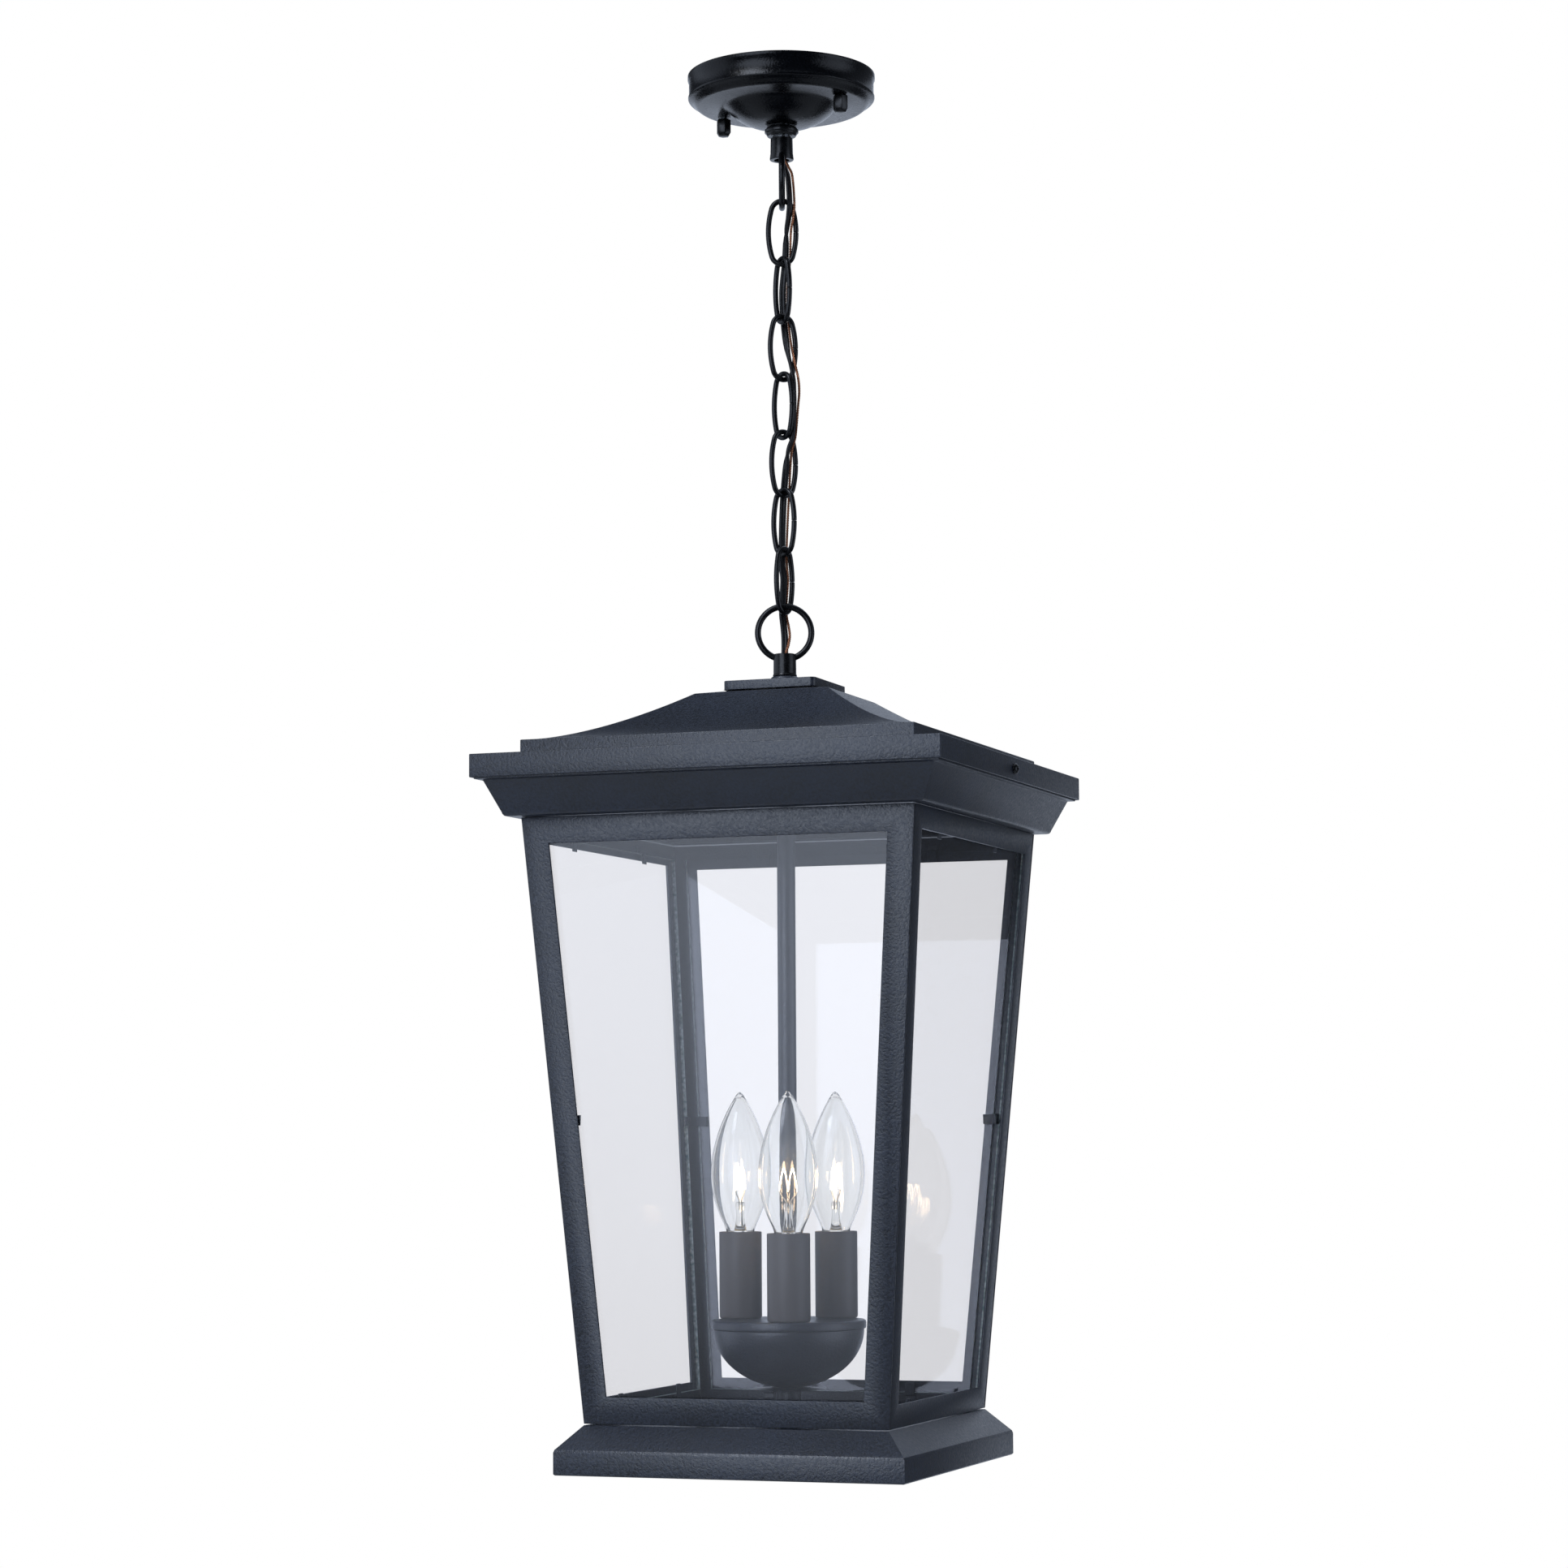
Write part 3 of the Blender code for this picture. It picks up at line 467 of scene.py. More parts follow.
def ring_and_coupler(owner, body, ring_z, way, turn, outline):
    """A wire ring below the coupler where way is -1, and above it where way is 1."""
    mouth = ring_z - way * RING_MOUTH
    coupler = [(radius, mouth - way * height) for radius, height in outline]
    coupler_bm = soften(spun(coupler, 64), 0.35, 3, 30)
    piece(f"{owner}_turned_coupler", coupler_bm, gloss_black, body, [f"{owner}_coupler"])
    half_open = math.asin(RING_HOLE / RING_RADIUS)
    plane = around(turn, 1).to_3d()
    points = []
    for n in range(RING_STEPS + 1):
        angle = half_open + (math.tau - 2 * half_open) * n / RING_STEPS
        height = ring_z - way * RING_RADIUS * math.cos(angle)
        points.append(plane * RING_RADIUS * math.sin(angle) * MM + Vector((0, 0, height * MM)))
    side = plane.cross(Vector((0, 0, 1)))
    ring_bm = drawn(stations_along(points, [side] * len(points)), round_section(RING_WIRE / 2, 24))
    piece(f"{owner}_wire_ring", ring_bm, gloss_black, body, [f"{owner}_ring"], 50)


collar = [
    (5.4, -31.8), (8.6, -31.8), (9.4, -32.3), (9.4, -33.0), (10.3, -33.4), (10.3, -35.2), (9.3, -35.7),
    (9.3, -36.2), (8.6, -37.4), (5.4, -37.4),
]
collar_bm = soften(spun(collar, 64), 0.2, 2, 25)
piece("grooved_collar", collar_bm, gloss_black, "ceiling", ["canopy_collar"])
flared = [(4.5, 0), (7.2, 0), (7.3, 0.8), (6.9, 4.0), (6.7, 13.5), (5.75, 13.5), (5.75, 4.0), (4.5, 4.0)]
plain = [
    (4.5, 0), (6.7, 0), (6.8, 1.0), (6.9, 12.2), (7.3, 12.8), (7.3, 13.5), (5.75, 13.5), (5.75, 4.0),
    (4.5, 4.0),
]
ring_and_coupler("canopy", "ceiling", CANOPY_RING_Z, -1, RING_TURN + 90, flared)
ring_and_coupler("lantern", "roof", LANTERN_RING_Z, 1, RING_TURN, plain)


# ---------------------------------------------------------------- chain
# Seven oval links of 3.2 mm steel wire, each bent round and butted in the middle of one side, where
# a fine slit shows, and then painted black.
LINK_WIRE = 3.2
LINK_HALF_WIDTH = 8.4
LINK_END_RADIUS = 6.6
LINK_TURNS = (3, 60, -25, 50, -31, 43, -56)
CLEARANCE = 0.3
LINKS = len(LINK_TURNS)
HANG = RING_WIRE / 2 + LINK_WIRE / 2 + CLEARANCE
NEST = LINK_WIRE + CLEARANCE
TOP_KNOT = CANOPY_RING_Z - RING_RADIUS
BOTTOM_KNOT = LANTERN_RING_Z + RING_RADIUS
LINK_LENGTH = (TOP_KNOT - BOTTOM_KNOT + 2 * HANG + (LINKS - 1) * NEST) / LINKS
PITCH = LINK_LENGTH - NEST
SLIT = 0.25
SIDE_STEPS = 8
END_STEPS = 14


def link_top(number):
    """Height in mm of the top wire's middle, for a link counted from 0."""
    return TOP_KNOT + HANG - number * PITCH


def oval():
    """A link's centre line in mm, from one lip of the slit, round the link, to the other."""
    reach = LINK_LENGTH / 2 - LINK_END_RADIUS
    belly = LINK_HALF_WIDTH - LINK_END_RADIUS
    side_radius = (reach**2 + LINK_HALF_WIDTH**2 - LINK_END_RADIUS**2) / (2 * belly)
    centre = side_radius - LINK_HALF_WIDTH
    spread = math.atan2(reach, centre)
    lip = SLIT / 2 / side_radius
    side = [lip + (spread - lip) * n / SIDE_STEPS for n in range(SIDE_STEPS)]
    quarter = [(side_radius * math.cos(a) - centre, side_radius * math.sin(a)) for a in side]
    for n in range(END_STEPS):
        a = spread + (math.pi / 2 - spread) * n / END_STEPS
        quarter.append((LINK_END_RADIUS * math.cos(a), reach + LINK_END_RADIUS * math.sin(a)))
    opposite = [(-x, z) for x, z in quarter[::-1]][:-1]
    half = quarter + [(0, LINK_LENGTH / 2)] + opposite + [(-LINK_HALF_WIDTH, 0)]
    return half + [(x, -z) for x, z in half[-2::-1]]


for n, turn in enumerate(LINK_TURNS):
    plane = around(RING_TURN - turn, 1).to_3d()
    middle = Vector((0, 0, (link_top(n) - LINK_LENGTH / 2) * MM))
    link_points = [middle + (plane * x + Vector((0, 0, z))) * MM for x, z in oval()]
    side = plane.cross(Vector((0, 0, 1)))
    link_bm = drawn(stations_along(link_points, [side] * len(link_points)), round_section(LINK_WIRE / 2, 24))
    soften(link_bm, 0.25, 2, 60)
    link = f"link_{n + 1}"
    piece(f"butted_{link}", link_bm, gloss_black, link, [f"chain_{link}"], 50)


# ---------------------------------------------------------------- supply cord and ground wire
# A flat black vinyl twin cord and a bare stranded copper wire weave down through the chain, from the
# canopy's coupler to the lantern's. Each is made in eight lengths that bend with the chain's knots.
# each row is a height counted in links from the top, then the cord's place and the wire's in mm:
# how far right of the chain's line, and how far in front of it or, with a minus, behind it
CORD_ROUTE = (
    (-1.55, 0.0, -0.6, 0.3, 2.3),
    (-1.05, 0.2, -0.6, 0.4, 2.4),
    (-0.80, 0.7, -0.4, 1.4, 2.6),
    (-0.62, 2.2, 0.5, 4.2, 3.4),
    (-0.45, 3.7, 2.2, 6.4, 4.3),
    (0.0, 4.6, 4.5, 7.5, 3.1),
    (0.25, 4.0, 2.8, 6.8, 3.6),
    (0.5, 2.6, 0.3, 5.3, 1.7),
    (1.0, 1.7, -4.3, 4.6, -2.9),
    (1.5, 0.0, -5.3, 2.9, -4.3),
    (2.0, 0.7, -6.4, 3.5, -4.6),
    (2.5, 2.6, -2.4, 5.4, -1.1),
    (3.0, 6.1, 1.6, 8.9, 2.9),
    (3.25, 6.7, 1.1, 9.7, 0.8),
    (3.5, 6.8, 0.9, 9.0, -1.4),
    (4.0, 5.9, 1.3, 7.4, -1.2),
    (4.25, 3.1, 0.6, 5.1, -1.3),
    (4.5, 1.7, -1.5, 4.2, -3.1),
    (5.0, 0.0, -5.2, 3.2, -4.9),
    (5.5, -0.9, -4.9, 2.2, -5.2),
    (6.0, -1.3, -6.1, 1.5, -7.4),
    (6.25, -1.2, -5.2, 1.7, -6.5),
    (6.5, -0.4, -4.3, 2.2, -5.3),
    (7.0, -1.3, -4.8, 1.1, -6.7),
    (7.28, -0.5, -3.1, 2.5, -3.8),
    (7.45, 0.0, -1.8, 3.1, -1.0),
    (7.62, 0.1, -0.9, 2.2, 1.7),
    (7.80, 0.0, -0.6, 0.6, 2.4),
    (8.35, 0.0, -0.6, 0.3, 2.3),
    (8.90, 0.0, -0.6, 0.3, 2.3),
)
CORD_HALF_WIDTH = 2.1
CORD_CORE = 1.15
CORE_STEPS = 12
COPPER_LAY = 9.0
COPPER_RADIUS = 0.72
STRANDS = 6
STRAND_SWELL = 0.13


def plastic(name, colour, grain, detail, sheen, depth, strength):
    """Extruded or moulded plastic: the grain of its die or mould, in mm, breaks up a soft gloss."""
    made, tree, shader = new_finish(name)
    shader.inputs["Base Color"].default_value = linear(colour)
    where = add(tree, "ShaderNodeTexCoord")
    skin = add(
        tree,
        "ShaderNodeTexNoise",
        [("Vector", where.outputs["Object"]), ("Scale", 1 / (grain * MM)), ("Detail", detail)],
    )
    gloss = add(
        tree,
        "ShaderNodeMapRange",
        [("Value", skin.outputs["Fac"]), ("To Min", sheen[0]), ("To Max", sheen[1])],
    )
    relief = add(
        tree,
        "ShaderNodeBump",
        [("Height", skin.outputs["Fac"]), ("Distance", depth * MM), ("Strength", strength)],
    )
    tree.links.new(gloss.outputs[0], shader.inputs["Roughness"])
    tree.links.new(relief.outputs["Normal"], shader.inputs["Normal"])
    return made


def route(column, steps):
    """Points on a smooth curve through the chosen ones: column 1 for the cord, 3 for the ground wire."""
    right = around(RING_TURN, 1).to_3d()
    front = Vector((right.y, -right.x, 0))
    first = TOP_KNOT + HANG / 2
    spacing = (first - (BOTTOM_KNOT - HANG / 2)) / LINKS
    chosen = []
    for row in CORD_ROUTE:
        height = Vector((0, 0, first - row[0] * spacing))
        chosen.append((right * row[column] + front * row[column + 1] + height) * MM)
    points = []
    for n in range(len(chosen) - 1):
        a, b = chosen[max(n - 1, 0)], chosen[n]
        c, d = chosen[n + 1], chosen[min(n + 2, len(chosen) - 1)]
        for step in range(steps):
            t = step / steps
            square = 2 * a - 5 * b + 4 * c - d
            cube = 3 * b - a - 3 * c + d
            points.append(0.5 * (2 * b + (c - a) * t + square * t**2 + cube * t**3))
    return points + [chosen[-1]]


def flat_side(points):
    """The way that a flat cord's width lies at each point: round the chain, and never straight at it."""
    bearing = np.array([complex(p.x, p.y) for p in points]) ** 2
    window = np.hanning(13)
    padded = np.pad(bearing, 6, mode="edge")
    even = np.convolve(padded, window / window.sum(), mode="valid")
    angle = np.unwrap(np.angle(even)) / 2 + math.pi / 2
    return [Vector((math.cos(a), math.sin(a), 0)) for a in angle]


def bend_with_chain(name, stations, section, finish, replaced):
    """Eight lengths end to end. Each runs from the middle of one body to the middle of the next."""
    heights = [s.translation.z for s in stations]
    middles = [(link_top(n) - LINK_LENGTH / 2) * MM for n in range(LINKS)]
    joins = [min(range(len(heights)), key=lambda k: abs(heights[k] - middle)) for middle in middles]
    ends = [0] + joins + [len(stations) - 1]
    for n in range(LINKS + 1):
        length = piece(
            f"{name}_{n + 1}",
            drawn(stations[ends[n] : ends[n + 1] + 1], section),
            finish,
            None,
            [replaced],
            50,
        )
        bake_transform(length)


def twin_section():
    """Two round cores side by side, with a shallow valley between them."""
    half = []
    for n in range(CORE_STEPS + 1):
        a = math.radians(-125 + 250 * n / CORE_STEPS)
        half.append((CORD_HALF_WIDTH - CORD_CORE + CORD_CORE * math.cos(a), CORD_CORE * math.sin(a)))
    return half + [(-x, -y) for x, y in half]


def stranded_section():
    """Six outer strands round one core."""
    made = []
    for n in range(STRANDS * 4):
        swell = 1 + STRAND_SWELL * math.cos(math.tau * n / 4)
        a = math.tau * n / (STRANDS * 4)
        made.append((COPPER_RADIUS * swell * math.cos(a), COPPER_RADIUS * swell * math.sin(a)))
    return made


# vinyl has a faint drawn grain and a waxy gloss, and bare copper is dull pink
vinyl = plastic("black_vinyl_extruded", "#0d0d0f", 2.5, 3.0, (0.3, 0.5), 0.05, 0.6)
copper = plated_metal("bare_copper_drawn", "#c98d6b", "#a3694c", 0.45)
cord_points = route(1, 5)
cord_stations = stations_along(cord_points, flat_side(cord_points))
bend_with_chain("twin_cord", cord_stations, twin_section(), vinyl, "supply_cord")
wire_points = route(3, 12)
wire_across = [Vector((1, 0, 0))] * len(wire_points)
wire_stations = stations_along(wire_points, wire_across, math.tau / (COPPER_LAY * MM))
bend_with_chain("ground_strand", wire_stations, stranded_section(), copper, "ground_wire")


# ---------------------------------------------------------------- roof
# The roof is pressed from 1.2 mm steel: four hollow-curved panels, a square shoulder, a step band and
# an upright eave. A small cap plate and a turned seat cover its middle, under the lantern's coupler.
SHEET = 1.2
SHOULDER_Z = EAVE_TOP + 41.4
CAP_TOP = EAVE_TOP + 49.9
EAVE_BOTTOM = EAVE_TOP - 13.7
EAVE_HALF = 142.85
STEP_HALF = 120.5
SHOULDER_HALF = 42.25
CAP_HALF = 29.0
CAP_CORNER = 3.2
SWEEP_STEPS = 24
SWEEP_HOLLOW = 1.55


def folded(outline):
    """A square piece: an outline of (half width, height) in mm, carried round four sides."""
    return spun([(half * math.sqrt(2), height) for half, height in outline], 4, 45)


crown = [(6.0, SHOULDER_Z + 2.6), (CAP_HALF + 1, SHOULDER_Z + 2.0), (SHOULDER_HALF, SHOULDER_Z)]
for n in range(1, SWEEP_STEPS + 1):
    share = n / SWEEP_STEPS
    drop = 1 - (1 - share) ** SWEEP_HOLLOW
    crown.append(
        (
            SHOULDER_HALF + (STEP_HALF - SHOULDER_HALF) * share,
            SHOULDER_Z - (SHOULDER_Z - EAVE_TOP - 9.5) * drop,
        )
    )
crown += [(STEP_HALF, EAVE_TOP), (EAVE_HALF, EAVE_TOP), (EAVE_HALF, EAVE_BOTTOM)]
roof_bm = soften(folded(walled(crown, SHEET)), 0.55, 3, 16)
piece("pressed_roof", roof_bm, black_coat, "roof", ["roof_shell"], 30)

cap_low = SHOULDER_Z + 3.0
cap_bm = folded(walled([(CAP_HALF, cap_low), (CAP_HALF, CAP_TOP), (6.0, CAP_TOP)][::-1], SHEET))
upright = [
    e
    for e in cap_bm.edges
    if abs(e.verts[0].co.z - e.verts[1].co.z) > 2 * MM and max(abs(v.co.x) for v in e.verts) > 20 * MM
]
bmesh.ops.bevel(
    cap_bm,
    geom=upright,
    offset=CAP_CORNER * MM,
    offset_type="OFFSET",
    affect="EDGES",
    segments=5,
    profile=0.5,
    material=-1,
)
piece("cap_cover", soften(cap_bm, 0.4, 3, 40), black_coat, "roof", ["cap_plate"])

seat = [(5.85, 50.2), (8.6, 50.2), (8.6, 52.9), (8.2, 53.7), (7.6, 54.1), (5.85, 54.1)]
seat_bm = soften(spun([(r, EAVE_TOP + z) for r, z in seat], 64), 0.2, 2, 25)
piece("turned_seat", seat_bm, black_coat, "roof", ["coupler_seat"])


# ---------------------------------------------------------------- eave screws
# A round-head screw in the middle of the left and the right eave holds the cage up. Each has a
# cross recess in its head and is painted black.
SCREW_Z = EAVE_TOP - 7.0


def cut_away(name, bm, cutter):
    """Takes one closed bmesh out of another."""
    pair = []
    for part in (bm, cutter):
        data = bpy.data.meshes.new(name)
        part.to_mesh(data)
        part.free()
        pair.append(bpy.data.objects.new(name, data))
        bpy.context.scene.collection.objects.link(pair[-1])
    boolean = pair[0].modifiers.new("cut", "BOOLEAN")
    boolean.solver = "EXACT"
    boolean.object = pair[1]
    left = bmesh.new()
    left.from_object(pair[0], bpy.context.evaluated_depsgraph_get())
    for used in pair:
        bpy.data.objects.remove(used)
    return left


def slab(size, centre, rounding=0.0):
    """A block of (x, y, z) size in mm, with softened edges."""
    bm = bmesh.new()
    bmesh.ops.create_cube(bm, size=1)
    bmesh.ops.scale(bm, verts=bm.verts, vec=Vector(size) * MM)
    bmesh.ops.translate(bm, verts=bm.verts, vec=Vector(centre) * MM)
    return soften(bm, rounding) if rounding else bm


screw_outline = [
    (0, -9.0), (1.7, -9.0), (1.7, 0.3), (3.4, 0.3), (3.4, 0.7), (3.1, 1.5), (2.4, 2.1), (1.3, 2.45),
    (0, 2.5),
]
for number, side in ((1, -1), (2, 1)):
    screw_bm = spun(screw_outline, 32)
    for size in ((3.2, 0.75, 2.4), (0.75, 3.2, 2.4)):
        screw_bm = cut_away("recess", screw_bm, slab(size, (0, 0, 2.6)))
    turn = Matrix.Rotation(math.radians(90 * side), 4, "Y")
    place = Matrix.Translation(Vector((side * EAVE_HALF, 0, SCREW_Z)) * MM)
    bmesh.ops.transform(screw_bm, matrix=place @ turn, verts=screw_bm.verts)
    name = f"eave_screw_{number}"
    piece(f"round_head_screw_{number}", screw_bm, gloss_black, name, [name])


# ---------------------------------------------------------------- centre rod and its nut
# A threaded brass tube carries the lantern's weight from the coupler to the cluster. A black steel
# tube sleeves it, and a hexagon nut under the roof locks it.
PLATE_TOP = EAVE_TOP - 329.0
ROD_FOOT = EAVE_TOP - 372.0
ROD_HEAD = LANTERN_RING_Z - 17.4
ROD_RADIUS = 5.45
ROD_BORE = 3.7
rod_outline = [(ROD_BORE, ROD_FOOT), (ROD_RADIUS, ROD_FOOT), (ROD_RADIUS, ROD_HEAD), (ROD_BORE, ROD_HEAD)]
piece("stem_tube", spun(rod_outline, 48), black_coat, "roof", ["centre_rod"])


# ---------------------------------------------------------------- cluster
# A spun steel bowl with a flat cover plate carries three candles. A small turned finial screws on to
# the stem below it. All are powder coated like the lantern.
BOWL_RIM = PLATE_TOP - 5.4
BOWL_DEPTH = 34.5
BOWL_RADIUS = 44.6
BOWL_STEPS = 25
bowl = []
for n in range(BOWL_STEPS):
    a = math.radians(90 * n / BOWL_STEPS)
    bowl.append((BOWL_RADIUS * math.cos(a), BOWL_RIM - BOWL_DEPTH * math.sin(a)))
bowl.append((ROD_RADIUS + 0.6, BOWL_RIM - BOWL_DEPTH))
bowl_bm = soften(spun(walled(bowl, SHEET), 96), 0.3, 2, 40)
piece("spun_bowl", bowl_bm, black_coat, "roof", ["cluster_bowl"], 50)

cover = [
    (45.6, -5.0), (45.8, -4.0), (45.8, -1.1), (45.4, -0.4), (44.8, 0.0), (5.85, 0.0), (5.85, -1.2),
    (44.2, -1.2), (44.6, -5.0),
]
cover_bm = soften(spun([(r, PLATE_TOP + z) for r, z in cover], 96), 0.25, 2, 30)
piece("cover_plate", cover_bm, black_coat, "roof", ["cluster_cover"])

BODY_BOTTOM = EAVE_TOP - 386.0
stem_low = BODY_BOTTOM + 3.2
stem_top = BOWL_RIM - BOWL_DEPTH - 0.3
finial = [
    (0, stem_low), (3.8, stem_low), (5.4, stem_low + 0.5), (6.5, stem_low + 1.6), (7.0, stem_low + 3.4),
    (7.0, stem_top - 2.4), (6.6, stem_top - 0.8), (6.2, stem_top), (ROD_RADIUS + 0.3, stem_top),
    (ROD_RADIUS + 0.3, ROD_FOOT - 0.3), (0, ROD_FOOT - 0.3),
]
piece("turned_finial", soften(spun(finial, 48), 0.2, 2, 30), black_coat, "roof", ["rod_finial"])


# ---------------------------------------------------------------- candles
# Each candle is a matt black moulded sleeve, slipped over a phenolic lamp socket. Its foot is
# rounded and its mouth is plain.
SLEEVE_TOP = EAVE_TOP - 277.5
CANDLE_CIRCLE = 33.0
CANDLE_TURNS = (-70, 50, 170)

# spark-eroded moulds leave a fine matt texture. The real one is about 0.1 mm; it is drawn coarser
# so that it shows
candle_black = plastic("candle_sleeve_matt_moulded", "#66605c", 0.6, 2.0, (0.36, 0.48), 0.04, 0.7)
phenolic = plastic("socket_phenolic_moulded", "#17130f", 0.6, 2.0, (0.39, 0.51), 0.04, 0.7)
sleeve_foot = PLATE_TOP + 0.3
sleeve = [
    (11.2, sleeve_foot), (11.9, sleeve_foot), (12.4, sleeve_foot + 0.4), (12.7, sleeve_foot + 1.4),
    (12.7, SLEEVE_TOP - 0.4), (12.4, SLEEVE_TOP), (11.9, SLEEVE_TOP), (11.9, sleeve_foot + 1.6),
]
for number, turn in enumerate(CANDLE_TURNS, 1):
    sleeve_bm = soften(spun(sleeve, 64, 0, around(turn, CANDLE_CIRCLE * MM)), 0.15, 2, 30)
    name = f"candle_sleeve_{number}"
    piece(f"candle_cover_{number}", sleeve_bm, candle_black, "roof", [name])
refinish(phenolic, "lamp_socket_1", "lamp_socket_2", "lamp_socket_3")


# ---------------------------------------------------------------- bulbs
# Three clear torpedo bulbs on small screw bases: a blown envelope, a drawn glass stem pinched round
# the wires, two nickel supports and a coiled tungsten filament, lit warm.
BULB_TIP = EAVE_TOP - 194.4
BASE_TOP = SLEEVE_TOP + 1.0
GLASS_FOOT = BASE_TOP - 1.2
PINCH_TOP = BASE_TOP + 17.0
GLASS_WALL = 0.7
# how far each support's points lie from the middle, and how far above the pinch
SUPPORT_ROUTE = ((0.9, -5), (1.1, 0), (2.2, 2), (4.6, 4.5), (5.2, 7))
COIL_TURNS = 40
COIL_STEPS = 10 * COIL_TURNS
COIL_FOOT = PINCH_TOP + 7
COIL_RADIUS = 0.8
COIL_RISE = 12.0
COIL_HALF_WIDTH = 5.2


def clear_glass(name, tint):
    """Blown soda-lime glass: it bends light, so its outline shows as a thin grey line."""
    made, tree, shader = new_finish(name)
    shader.inputs["Base Color"].default_value = linear(tint)
    shader.inputs["Transmission Weight"].default_value = 1.0
    shader.inputs["IOR"].default_value = 1.5
    shader.inputs["Specular IOR Level"].default_value = 0.35
    where = add(tree, "ShaderNodeTexCoord")
    # blown glass is a little uneven, over a few millimetres
    wave = add(
        tree,
        "ShaderNodeTexNoise",
        [("Vector", where.outputs["Object"]), ("Scale", 1 / (14 * MM)), ("Detail", 1.0)],
    )
    relief = add(
        tree, "ShaderNodeBump", [("Height", wave.outputs["Fac"]), ("Distance", 0.1 * MM), ("Strength", 0.3)]
    )
    gloss = add(
        tree, "ShaderNodeMapRange", [("Value", wave.outputs["Fac"]), ("To Min", 0.0), ("To Max", 0.02)]
    )
    tree.links.new(gloss.outputs[0], shader.inputs["Roughness"])
    tree.links.new(relief.outputs["Normal"], shader.inputs["Normal"])
    return made


def hot_wire(name, colour, heat):
    """Tungsten at white heat: an even warm glow that drowns the wire's own grey."""
    made, _, shader = new_finish(name)
    shader.inputs["Base Color"].default_value = linear(colour)
    shader.inputs["Emission Color"].default_value = linear(colour)
    shader.inputs["Emission Strength"].default_value = heat
    return made


def spot(middle, plane, across, height):
    """A point in a bulb: how far it lies across the filament's plane, and its height, in mm."""
    return middle + (plane * across + Vector((0, 0, height))) * MM


blown_glass = clear_glass("soda_lime_glass_blown", "#fbfcfc")
nickel = plated_metal("nickel_wire_drawn", "#c9c6bf", "#a5a29c", 0.3)
tungsten = hot_wire("tungsten_coil_lit", "#ffe4bd", 180)
torpedo = [
    (0, 8.2), (0.03, 8.9), (0.06, 9.9), (0.11, 11.9), (0.16, 13.6), (0.22, 15.3), (0.28, 16.5),
    (0.34, 17.25), (0.40, 17.5), (0.47, 17.35), (0.54, 16.7), (0.61, 15.5), (0.68, 13.9), (0.75, 11.9),
    (0.81, 9.8), (0.865, 7.6), (0.91, 5.6), (0.945, 3.9), (0.975, 2.4), (0.992, 1.2), (1.0, 0.0),
]
envelope = [(radius, GLASS_FOOT + share * (BULB_TIP - GLASS_FOOT)) for share, radius in torpedo]
pinch = [
    (0, -1.2), (4.0, -1.2), (3.6, 0.6), (3.1, 2.6), (2.7, 5.0), (2.4, 8.0), (2.3, 11.5), (2.7, 13.6),
    (2.9, 15.2), (2.2, 16.6), (0, 17.0),
]
base_shell = [
    (0, -26.5), (2.4, -26.5), (3.2, -24.6), (5.9, -21.5), (5.9, -6.0), (8.0, -4.2), (8.0, -1.5), (0, -1.5),
]
for number, turn in enumerate(CANDLE_TURNS, 1):
    place = around(turn, CANDLE_CIRCLE * MM)
    middle = place.to_3d()
    body = f"bulb_{number}"
    inside = [(radius - GLASS_WALL, height) for radius, height in envelope[:2]]
    inside += [(max(radius - GLASS_WALL, 0), height - GLASS_WALL / 2) for radius, height in envelope[2:-3]]
    inside.append((0, BULB_TIP - 1.8))
    glass_bm = spun(envelope + inside[::-1], 64, 0, place)
    piece(f"bulb_envelope_{number}", glass_bm, blown_glass, body, [f"bulb_glass_{number}"], 60)
    pinch_bm = spun([(r, BASE_TOP + z) for r, z in pinch], 32, 0, place)
    piece(f"bulb_stem_{number}", pinch_bm, blown_glass, body, [f"bulb_mount_{number}"], 60)
    base_bm = soften(spun([(r, BASE_TOP + z) for r, z in base_shell], 48, 0, place), 0.3, 2, 30)
    piece(f"bulb_screw_base_{number}", base_bm, brass_plate, body, [f"bulb_base_{number}"])

    plane = around(turn + 90, 1).to_3d()
    side = plane.cross(Vector((0, 0, 1)))
    for n, way in enumerate((-1, 1)):
        support = [spot(middle, plane, way * across, PINCH_TOP + above) for across, above in SUPPORT_ROUTE]
        support_bm = drawn(stations_along(support, [side] * len(support)), round_section(0.3, 8))
        piece(f"filament_support_{number}_{n + 1}", support_bm, nickel, body, (), 60)
    coil = []
    for n in range(COIL_STEPS + 1):
        share = n / COIL_STEPS
        a = math.tau * COIL_TURNS * share
        rise = COIL_RISE * abs(math.sin(math.tau * share)) + COIL_RADIUS * math.sin(a)
        centre = spot(middle, plane, COIL_HALF_WIDTH * (2 * share - 1), COIL_FOOT + rise)
        coil.append(centre + side * COIL_RADIUS * MM * math.cos(a))
    coil_bm = drawn(stations_along(coil, [Vector((0, 0, 1))] * len(coil)), round_section(0.2, 6))
    piece(f"filament_{number}", coil_bm, tungsten, body, (), 60)


